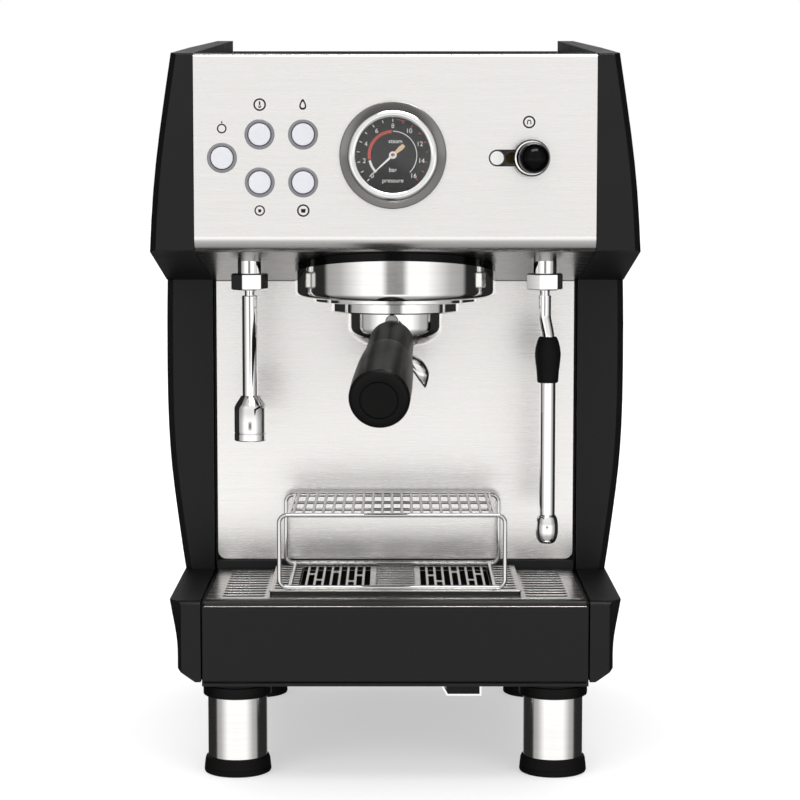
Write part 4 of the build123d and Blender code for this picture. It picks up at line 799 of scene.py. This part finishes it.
group_centre = (0.0, -72.0, 0.0)
cover_profile = [(43.0, 311.5), (62.6, 311.5), (64.0, 311.9), (65.2, 312.8), (65.8, 314.0),
                 (66.0, 315.4), (66.0, 316.0), (66.0, 350.0), (64.0, 350.0), (64.0, 315.0), (62.4, 313.5),
                 (43.0, 313.5), (43.0, 311.5)]
cover = lathe("group_drum", cover_profile, group_centre, segments=160)
trim_to_slope(cover, SPACER_HEIGHT, 320)
cover_steel = brushed("spun steel", (0.84, 0.83, 0.82), 0.06, 0.11, (25.0, 25.0, 1500.0), 0.05, 0.05)
settle(cover, "housing", "polished_chrome", cover_steel, ["group_cover"])
spacer = lathe("group_gasket_ring", [(50.0, 312.0), (65.4, 312.0), (65.4, 350.0), (50.0, 350.0),
                                     (50.0, 312.0)], group_centre, segments=160)
for vertex in spacer.data.vertices:
    drop = SPACER_HEIGHT if vertex.co.z < 330 * MM else JOINT
    vertex.co.z = (CHIN_Z - (vertex.co.y / MM - HEAD_FRONT) * CHIN_SLOPE - drop) * MM
shade(spacer.data)
settle(spacer, "housing", "gloss_black", replaced=["group_spacer"])

# %% [markdown]
# ### Locking collar and cup
# The collar, the flange over it and the portafilter's cup are turned and polished. They are
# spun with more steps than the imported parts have, because chrome shows every facet.

# %% Locking collar and cup
chrome = finishes["polished_chrome"]
spin("housing", "group_collar", [(31.8, 303.4), (31.8, 302.1), (32.2, 301.8), (41.4, 301.8),
    (42.2, 302.6), (42.2, 308.2), (53.4, 308.6), (54.0, 309.0), (54.0, 311.1), (40.0, 311.1),
    (40.0, 309.4), (38.0, 309.4), (38.0, 303.4), (31.8, 303.4)], group_centre, segments=144,
    replaced=["group_head"])
spin("portafilter", "portafilter_cup", [(4.0, 280.0), (17.0, 280.0), (20.6, 280.5), (24.0, 282.2),
    (27.6, 285.2), (29.8, 287.6), (30.9, 289.8), (31.2, 292.2), (31.2, 308.0), (29.4, 308.0),
    (29.4, 291.0), (24.0, 284.4), (4.0, 282.5), (4.0, 280.0)], group_centre, segments=144,
    replaced=["portafilter_body"])
lug_sweep = math.radians(17)
for side, name in ((1, "lug_right"), (-1, "lug_left")):
    lug_points = []
    for radius, sign in ((37.3, 1), (30.8, -1)):
        for step in range(9):
            a = math.radians(-3.7) + sign * lug_sweep * (step / 8 * 2 - 1) + (0 if side > 0 else math.pi)
            lug_points.append((radius * math.cos(a), -72.0 + radius * math.sin(a)))
    lug = cut_plate(name, [lug_points], 3.8, 0.3, (0, 0, 305.7))
    settle(lug, "portafilter", "polished_chrome")

# %% [markdown]
# ## Portafilter
# The handle is a turned, matte grip: a rounded shoulder, a slight step, then a flare to a flat
# end with a fine groove. Its axis drops 13 degrees and turns a little to the left.

# %% Portafilter
yaw, drop = math.radians(3.7), math.radians(13.1)
grip_axis = Vector((-math.sin(yaw) * math.cos(drop), -math.cos(yaw) * math.cos(drop),
                    -math.sin(drop)))
grip_start = Vector((0.0, -72.0, 292.6))


def curve_between(points, steps=5):
    """Catmull-Rom curve through (radius, height) points."""
    ends = [points[0], *points, points[-1]]
    made = []
    for a, b, c, d in zip(ends, ends[1:], ends[2:], ends[3:]):
        for i in range(steps):
            t = i / steps
            made.append(tuple(
                0.5 * (2 * q + (r - p) * t + (2 * p - 5 * q + 4 * r - s) * t * t
                       + (3 * q - p - 3 * r + s) * t ** 3)
                for p, q, r, s in zip(a, b, c, d)))
    return [*made, points[-1]]


END = 154.5
grip_profile = [(0, 34.2)]
grip_profile += curve_between([(9.6, 34.2), (12.6, 35.1), (14.1, 38.0), (14.5, 46.0), (14.9, 66.0),
                               (15.1, 82.2)])
grip_profile += curve_between([(15.9, 82.8), (16.4, 85.6), (17.2, 96.0), (17.9, 112.0),
                               (18.4, 130.0), (18.5, END - 6.0), (18.3, END - 2.6),
                               (17.4, END - 0.9), (15.6, END - 0.1)])
grip_profile += [(14.2, END), (11.9, END), (11.7, END - 0.9), (11.1, END - 0.9), (10.9, END),
                 (3.0, END - 0.15), (0, END - 0.15)]
spin("portafilter", "handle_grip", grip_profile, grip_start, grip_axis, 112, slot="soft_black",
    replaced=["portafilter_handle"])
spin("portafilter", "handle_collar", [(0, 29.0), (6.6, 29.0), (7.4, 29.8), (7.4, 33.4), (6.8, 34.2),
    (0, 34.2)], grip_start, grip_axis, replaced=["handle_ferrule"])
spin("portafilter", "cup_boss", [(0, 28.0), (4.2, 28.0), (4.2, 35.6), (3.7, 36.4), (0, 36.4)],
    (0.0, -72.0, 297.2), (-math.sin(yaw), -math.cos(yaw), 0))

# %% [markdown]
# ### Spouts
# Each branch is an open chute: half a tube that swings out and turns down to a pointed lip.
# Sweeping a half circle that shrinks to a point makes it, and a Solidify modifier gives
# the metal its thickness.

# %% Spouts
side_way = Vector((math.cos(yaw), -math.sin(yaw), 0))
out_way = Vector((-math.sin(yaw), -math.cos(yaw), 0))


def chute(side):
    """Open spout branch on one side, as a swept half tube."""
    name = "spout_right" if side > 0 else "spout_left"
    route = curve_between([(4.0, 268.6), (9.4, 267.2), (14.2, 263.4), (17.4, 258.0),
                           (19.6, 251.6)], 6)
    widths = curve_between([(5.4, 0), (6.4, 0), (6.8, 0), (5.8, 0), (0.8, 0)], 6)
    points, faces, around = [], [], 12
    for i, (reach, z) in enumerate(route):
        ahead = route[min(i + 1, len(route) - 1)]
        behind = route[max(i - 1, 0)]
        along = (side_way * side * (ahead[0] - behind[0])
                 + Vector((0, 0, ahead[1] - behind[1]))).normalized()
        up = along.cross(out_way).normalized() * side
        radius = widths[i][0]
        centre = Vector((0, -72.0, z)) + side_way * side * reach
        for j in range(around + 1):
            a = math.radians(-200 + 220 * j / around)
            spoke = out_way * math.cos(a) - up * -math.sin(a)
            points.append((centre + spoke * radius) * MM)
    for i in range(len(route) - 1):
        for j in range(around):
            k = i * (around + 1) + j
            faces.append((k, k + 1, k + around + 2, k + around + 1))
    mesh = bpy.data.meshes.new(name)
    mesh.from_pydata(points, [], faces)
    shade(mesh, 50)
    piece = bpy.data.objects.new(name, mesh)
    wall = piece.modifiers.new("sheet", "SOLIDIFY")
    wall.thickness = 0.9 * MM
    return piece


spouts = [chute(-1), chute(1)]
settle(spouts[0], "portafilter", "polished_chrome", replaced=["twin_spout"])
settle(spouts[1], "portafilter", "polished_chrome")
spin("portafilter", "spout_hub", [(0, 263.0), (5.6, 263.0), (7.0, 264.4), (7.5, 266.5), (7.5, 271.4),
    (7.0, 272.0), (0, 272.0)], group_centre, segments=64)

# %% [markdown]
# ## Wands
# Both wands hang from hexagonal nuts. A nut is a lathe with six steps and softened corners.
# The steam tube has one gentle offset bend above its rubber sleeve, so it is a wire on a path.

# %% Wand nuts
WAND_Y = -92.0
HOT_X, STEAM_X, STEAM_LOW_X, STEAM_LOW_Y = -94.0, 96.5, 98.7, -93.0
nut_profile = [(6.7, 319.4), (8.8, 316.6), (10.6, 316.6), (12.0, 317.3), (12.0, 326.8), (10.6, 327.5),
               (7.6, 327.5)]
NUT_TURN = math.radians(10)
stem_profile = [(7.6, 327.4), (7.6, 338.6), (0, 338.6)]
for name, x in (("hot_water", HOT_X), ("steam", STEAM_X)):
    nut = lathe(name + "_hex", nut_profile, (x, WAND_Y, 0), segments=6)
    axis = Matrix.Translation(Vector((x, WAND_Y, 0)) * MM)
    nut.data.transform(axis @ Matrix.Rotation(NUT_TURN, 4, "Z") @ axis.inverted())
    soften(nut, 0.35, 25)
    settle(nut, "housing", "polished_chrome", replaced=[name + "_nut"])
    spin("housing", name + "_stem", stem_profile, (x, WAND_Y, 0), segments=64)

# %% Hot-water wand
pi_steps = [math.pi * i / 14 for i in range(1, 12)]
knuckle = [(6.3 * math.sin(a), 322.6 + 6.3 * math.cos(a)) for a in pi_steps]
spin("hot_water_arm", "hot_water_tube", [(0, 328.9), *knuckle, (3.2, 316.8), (3.2, 313.0), (4.6, 313.0),
    (5.0, 312.6), (5.0, 248.3)], (HOT_X, WAND_Y, 0), segments=72, replaced=["hot_water_wand"])
spin("hot_water_arm", "hot_water_head", [(5.0, 248.3), (5.8, 248.2), (9.4, 242.6), (10.1, 241.2),
    (10.4, 239.6), (10.4, 224.6), (10.15, 224.3), (10.15, 223.7), (10.4, 223.4), (10.4, 219.4),
    (10.0, 218.9), (8.9, 218.9), (8.4, 219.4), (8.4, 233.0), (0, 235.0)], (HOT_X, WAND_Y, 0),
    segments=96, replaced=["hot_water_nozzle"])

# %% Steam wand
spin("steam_arm", "steam_ball", [(0, 328.9), *knuckle, (3.2, 316.8), (3.2, 312.6)],
    (STEAM_X, WAND_Y, 0), segments=64, replaced=["steam_wand"])
bend_path = arc_corners([(STEAM_X, WAND_Y, 313.0), (STEAM_X, WAND_Y, 299.0),
                         (STEAM_LOW_X, STEAM_LOW_Y, 287.4), (STEAM_LOW_X, STEAM_LOW_Y, 261.0)],
                        18, steps=10)
steam_bend = wire("steam_bend", [bend_path], 8.3)
steam_bend.data.bevel_resolution = 12
settle(steam_bend, "steam_arm", "polished_chrome")
spin("steam_arm", "steam_tube", [(0, 260.0), (5.1, 260.0), (5.1, 170.4), (4.7, 170.0)],
    (STEAM_LOW_X, STEAM_LOW_Y, 0), segments=72)
sleeve_profile = [(4.3, 286.4), (5.4, 286.4)]
sleeve_profile += curve_between([(5.9, 285.9), (6.9, 283.4), (8.0, 279.0), (8.35, 274.5),
                                 (7.9, 269.0), (7.3, 264.4), (7.0, 260.0), (6.8, 257.4)])
sleeve_profile += [(6.3, 256.7), (5.2, 256.7)]
spin("steam_arm", "steam_grip", sleeve_profile, (STEAM_LOW_X, STEAM_LOW_Y, 0), segments=72,
    slot="black_rubber", replaced=["steam_sleeve"])
tip_profile = curve_between([(5.3, 170.2), (6.4, 168.6), (7.1, 165.4), (7.35, 161.0), (7.1, 157.4),
                             (6.2, 154.2), (4.6, 152.0), (3.0, 151.5)]) + [(0, 151.6)]
spin("steam_arm", "steam_end", [(5.1, 170.6), *tip_profile], (STEAM_LOW_X, STEAM_LOW_Y, 0), segments=72,
    replaced=["steam_tip"])

# %% [markdown]
# ## Legs
# Each leg is a brushed tube between a black collar and a rubber foot with a grip groove. The
# four are the same, so one loop makes them all.

# %% Legs
LEG_X, LEG_YS = 103.6, (-90.0, 148.0)
foot_profile = [(0, 0), (20.6, 0), (21.6, 0.5), (22.0, 1.4), (21.9, 3.2), (21.5, 3.5), (21.5, 4.1),
                (21.8, 4.4), (21.2, 9.2), (20.6, 10.6), (19.6, 11.0), (0, 11.0)]
tube_profile = [(17.0, 11.0), (19.1, 11.0), (19.4, 11.4), (19.4, 51.2), (17.0, 51.2)]
collar_profile = [(17.0, 51.5), (21.4, 51.5), (22.2, 52.0), (22.4, 53.0), (22.4, 58.6),
                  (21.8, 59.2), (21.8, 62.0), (17.0, 62.0)]
stood_for = {"foot": ["leg_feet"], "tube": ["leg_tubes"], "collar": ["leg_collars"]}
for side in (-1, 1):
    for row, y in enumerate(LEG_YS):
        where = (side * LEG_X, y, 0)
        which = ("front" if row == 0 else "rear") + ("_left" if side < 0 else "_right")
        for kind, profile, slot, finish in (
                ("foot", foot_profile, "black_rubber", finishes["black_rubber"]),
                ("tube", tube_profile, "brushed_steel", grain_round),
                ("collar", collar_profile, "soft_black", finishes["soft_black"])):
            spin("housing", f"leg_{kind}_{which}", profile, where, segments=112, slot=slot,
                finish=finish, replaced=stood_for.pop(kind, ()))

# %% [markdown]
# ## Gauge
# A turned bezel with a dull dished ring and a bright rounded one, a printed dial and a needle.
# Arcs, ticks and generic numbers are thin plates lying on the dial, so they stay crisp close up.

# %% Gauge bezel
gauge_x, gauge_z = -1.5, 402.8
towards_viewer = (0, -1, 0)
gauge_centre = (gauge_x, HEAD_FRONT, gauge_z)
dull_ring = brushed("turned dark ring", (0.22, 0.215, 0.21), 0.11, 0.19, (120.0, 1500.0, 120.0), 0.1)
spin("housing", "bezel_outer", [(28.0, 0.2), (33.0, 0.2), (33.0, 6.2), (32.6, 6.8), (32.2, 6.8),
    (28.6, 4.9), (28.0, 4.7), (28.0, 0.2)], gauge_centre, towards_viewer, 128, slot="bezel_metal",
    finish=dull_ring, replaced=["gauge_bezel"])
spin("housing", "bezel_inner", [(23.3, -2.6), (23.3, 4.3), (23.5, 4.8), (24.4, 5.3), (25.6, 5.5),
    (26.8, 5.2), (27.7, 4.4), (28.0, 3.3), (28.0, 0.2), (23.3, -2.6)], gauge_centre, towards_viewer,
    128, slot="bezel_metal")

# %% Dial print
PRINT_Y = -147.06
dial_print = skinned("white print", (0.92, 0.91, 0.88), 0.5, 0.6, relief=0, spread=0.05)
red_print = skinned("red print", (0.55, 0.05, 0.03), 0.5, 0.6, relief=0, spread=0.05)


def dial_angle(share):
    """Angle of a place on the scale, from 0 at lower left to 1 at lower right."""
    return math.radians(225 - 270 * share)


def dial_arc(radius, width, start, end, steps=40):
    """Arc band as a closed outline, from one share of the scale to another."""
    turns = [dial_angle(start + (end - start) * i / steps) for i in range(steps + 1)]
    out = [((radius + width) * math.cos(a), (radius + width) * math.sin(a)) for a in turns]
    back = [(radius * math.cos(a), radius * math.sin(a)) for a in reversed(turns)]
    return out + back


def dial_tick(share, inner, outer, width):
    """Radial tick as a closed outline."""
    a = dial_angle(share)
    along, across = Vector((math.cos(a), math.sin(a))), Vector((-math.sin(a), math.cos(a)))
    corners = [along * inner - across * width / 2, along * outer - across * width / 2,
               along * outer + across * width / 2, along * inner + across * width / 2]
    return [(c.x, c.y) for c in corners]


def print_on_dial(name, outlines, finish):
    """Thin printed shapes on the dial."""
    mark = cut_plate(name, outlines, 0.06, 0.0, (gauge_x, PRINT_Y, gauge_z), "front")
    return settle(mark, "housing", "dial_black", finish)


white_marks = [dial_arc(14.6, 0.45, 0.50, 1.0), dial_arc(13.9, 1.5, 0.0, 0.12)]
white_marks += [dial_tick(i / 16, 20.6, 22.4, 0.5) for i in range(0, 9)]
print_on_dial("dial_scale_white", white_marks, dial_print)
red_marks = [dial_arc(13.7, 1.9, 0.13, 0.49), dial_arc(21.9, 0.4, 0.52, 1.0)]
red_marks += [dial_tick(i / 16, 20.4, 21.9, 0.5) for i in range(9, 17)]
print_on_dial("dial_scale_red", red_marks, red_print)


def dial_text(name, words, x, z, size, finish):
    """Small generic figures on the dial."""
    text = bpy.data.curves.new(name, "FONT")
    text.body = words
    text.size = size * MM
    text.align_x, text.align_y = "CENTER", "CENTER"
    text.extrude = 0.02 * MM
    label = bpy.data.objects.new(name, text)
    label.location = (x * MM, PRINT_Y * MM, z * MM)
    label.rotation_euler = (math.radians(90), 0, 0)
    return settle(label, "housing", "dial_black", finish)


for i in range(9):
    a = dial_angle(i / 8)
    dial_text(f"dial_number_{i}", str(2 * i), gauge_x + 18.0 * math.cos(a),
              gauge_z + 18.0 * math.sin(a), 4.1, dial_print)
dial_text("dial_title", "steam", gauge_x + 1.6, gauge_z + 8.6, 3.6, dial_print)
dial_text("dial_unit", "bar", gauge_x, gauge_z - 9.0, 3.8, dial_print)
dial_text("dial_name", "pressure", gauge_x, gauge_z - 15.6, 3.8, dial_print)

# %% [markdown]
# The needle tapers to a point, with a cream counterweight tail and a red boss in a white ring.

# %% Needle
needle_turn = math.radians(90 - 228)


def turned_outline(shape):
    """Outline along the needle, turned to the needle's rest direction."""
    c, k = math.cos(needle_turn), math.sin(needle_turn)
    return [(x * c - y * k, x * k + y * c) for x, y in shape]


needle = cut_plate("needle_blade", [turned_outline([(0, 0.75), (0, -0.75), (19.6, -0.2), (19.6, 0.2)])],
                   0.4, 0.05, (gauge_x, -148.0, gauge_z), "front")
settle(needle, "needle", "needle_white", replaced=["gauge_needle"])
cream = skinned("cream tail", (0.78, 0.55, 0.33), 0.4, 0.5, relief=0, spread=0.06)
tail = cut_plate("needle_tail", [turned_outline([(-9.3, 1.1), (-9.3, -1.1), (-6.6, -1.5), (-1.0, -0.7),
                                                 (-1.0, 0.7), (-6.6, 1.5)])],
                 0.4, 0.05, (gauge_x, -148.0, gauge_z), "front")
settle(tail, "needle", "needle_white", cream)
boss_red = skinned("red boss", (0.42, 0.06, 0.035), 0.25, 0.35, relief=0, spread=0.06)
for name, profile, finish in (
        ("needle_ring", [(1.3, -0.3), (2.4, -0.3), (2.4, 0.35), (2.1, 0.6), (1.3, 0.6), (1.3, -0.3)],
         finishes["needle_white"]),
        ("needle_boss", [(1.25, -0.3), (1.25, 0.7), (0.9, 0.95), (0, 1.02)], boss_red)):
    spin("needle", name, profile, (gauge_x, -148.0, gauge_z), towards_viewer, 48, slot="needle_white",
        finish=finish)

# %% [markdown]
# ## Push buttons
# Each cap is frosted plastic, faintly domed, in a grey ring with a rounded rim. A dark joint
# shows between them. Small plain pictograms are printed on the panel beside them.

# %% Buttons
BUTTON_NAMES = ("power_button", "temperature_button", "hot_water_button", "single_cup_button",
                "double_cup_button")
CAP_R, RING_R = 6.85, 9.3
button_centre = {}
for name in BUTTON_NAMES:
    low, high = box_mm(name)
    button_centre[name] = ((low.x + high.x) / 2, (low.z + high.z) / 2)
for order, name in enumerate(BUTTON_NAMES):
    x, z = button_centre[name]
    face = (x, HEAD_FRONT, z)
    spin(name, name + "_cap", [(0, -5.0), (CAP_R, -5.0), (CAP_R, 1.2), (6.6, 1.6), (6.0, 1.82),
        (3.0, 1.88), (0, 1.9)], face, towards_viewer, 64, slot="white_cap", replaced=[name])
    ring = lathe(name + "_ring", [(7.3, -4.0), (RING_R - 0.1, -4.0), (RING_R, 0.3), (9.1, 0.62),
                                  (8.7, 0.8), (7.7, 0.8), (7.3, 0.5), (7.3, -4.0)],
                 face, towards_viewer, 64)
    settle(ring, "housing", "ring_grey", replaced=["button_rings"] if order == 0 else ())

# %% Pictograms on the panel
MARK_Y = HEAD_FRONT - 0.03
ink = skinned("black ink", (0.008, 0.0078, 0.0076), 0.45, 0.55, relief=0, specular=0.2, spread=0.08)


def pictogram(name, x, z, outlines, y=MARK_Y, body="housing", finish=ink):
    """Thin printed mark on the front, from outlines round its own centre."""
    mark = cut_plate(name, outlines, 0.06, 0.0, (x, y, z), "front")
    return settle(mark, body, "gloss_black", finish)


RING_MARK = [ring_outline(0, 0, 3.9, 40), ring_outline(0, 0, 2.9, 40)]
DROP = [(1.15 * math.sin(a) * (1.0 - 0.45 * math.cos(a)), 1.9 * math.cos(a) - 0.1)
        for a in [2 * math.pi * i / 24 for i in range(24)]]
BAR = rounded_box(0, 0.5, 0.9, 3.2, 0.4)
CUP = [(-1.6, 1.0), (-1.2, -1.3), (1.2, -1.3), (1.6, 1.0)]
SMALL_CUP = [(-1.0, 0.8), (-0.8, -1.1), (0.8, -1.1), (1.0, 0.8)]
ARCH = [(-1.3, -1.4), (-1.3, 0.6), (-0.6, 1.4), (0.6, 1.4), (1.3, 0.6), (1.3, -1.4), (0.7, -1.4),
        (0.7, 0.4), (0.3, 0.8), (-0.3, 0.8), (-0.7, 0.4), (-0.7, -1.4)]
pictogram("mark_temperature", -83.7, 433.9, [*RING_MARK, BAR, ring_outline(0, -1.2, 0.9, 16)])
pictogram("mark_hot_water", -57.1, 433.9,
          [[(1.75 * x, 1.75 * z + 0.3) for x, z in DROP], [(x, z) for x, z in DROP]])
pictogram("mark_power", -107.2, 419.2, [ring_outline(0, 0, 3.0, 36), ring_outline(0, 0, 2.15, 36),
                                        rounded_box(0, 3.9, 0.9, 1.1, 0.3)])
pictogram("mark_single_cup", -84.0, 368.7, [ring_outline(0, 0, 3.3, 36), ring_outline(0, 0, 2.45, 36),
                                            SMALL_CUP])
pictogram("mark_double_cup", -57.0, 368.7, [*RING_MARK, CUP])
pictogram("mark_lever", 82.7, 423.2, [*RING_MARK, ARCH])

# %% [markdown]
# ## Steam lever
# A glossy ball stands on a flange with a thin bright edge. The neck behind them runs through a
# horizontal slot, and a bright stud fills the slot's left end.

# %% Lever
lever_x, lever_z = 83.8, 401.1
BALL_Y, BALL_R = -175.6, 9.6
ball_profile = [(BALL_R * math.sin(a), BALL_R * math.cos(a)) for a in [math.pi * i / 40 for i in range(38)]]
ball_profile = [(0, BALL_R)] + ball_profile[1:] + [(3.6, -BALL_R - 1.0), (0, -BALL_R - 1.0)]
spin("steam_control", "lever_knob", ball_profile, (lever_x + 0.7, BALL_Y, lever_z), towards_viewer, 96,
    slot="gloss_black", replaced=["lever_ball"])
for name, profile, finish in (
        ("lever_flange", [(4.0, 11.4), (11.1, 11.4), (11.3, 11.8), (11.3, 12.8), (10.9, 13.4),
                          (4.0, 13.4), (4.0, 11.4)], finishes["gloss_black"]),
        ("lever_edge", [(9.6, 13.4), (10.5, 13.4), (10.5, 13.7), (9.6, 13.9), (9.6, 13.4)], chrome),
        ("lever_neck", [(0, -6.0), (4.0, -6.0), (4.0, 16.0), (0, 16.0)], finishes["gloss_black"])):
    spin("steam_control", name, profile, (lever_x, HEAD_FRONT, lever_z), towards_viewer, 80,
        slot="gloss_black", finish=finish)
stud = lathe("lever_stud", [(4.5, -1.6), (4.5, 0.2), (4.2, 0.5), (0, 0.55)],
             (62.9, HEAD_FRONT, lever_z), towards_viewer, 48)
stud_white = skinned("white stud", (0.72, 0.72, 0.71), 0.3, 0.4, relief=0, spread=0.04)
settle(stud, "housing", "polished_chrome", stud_white)
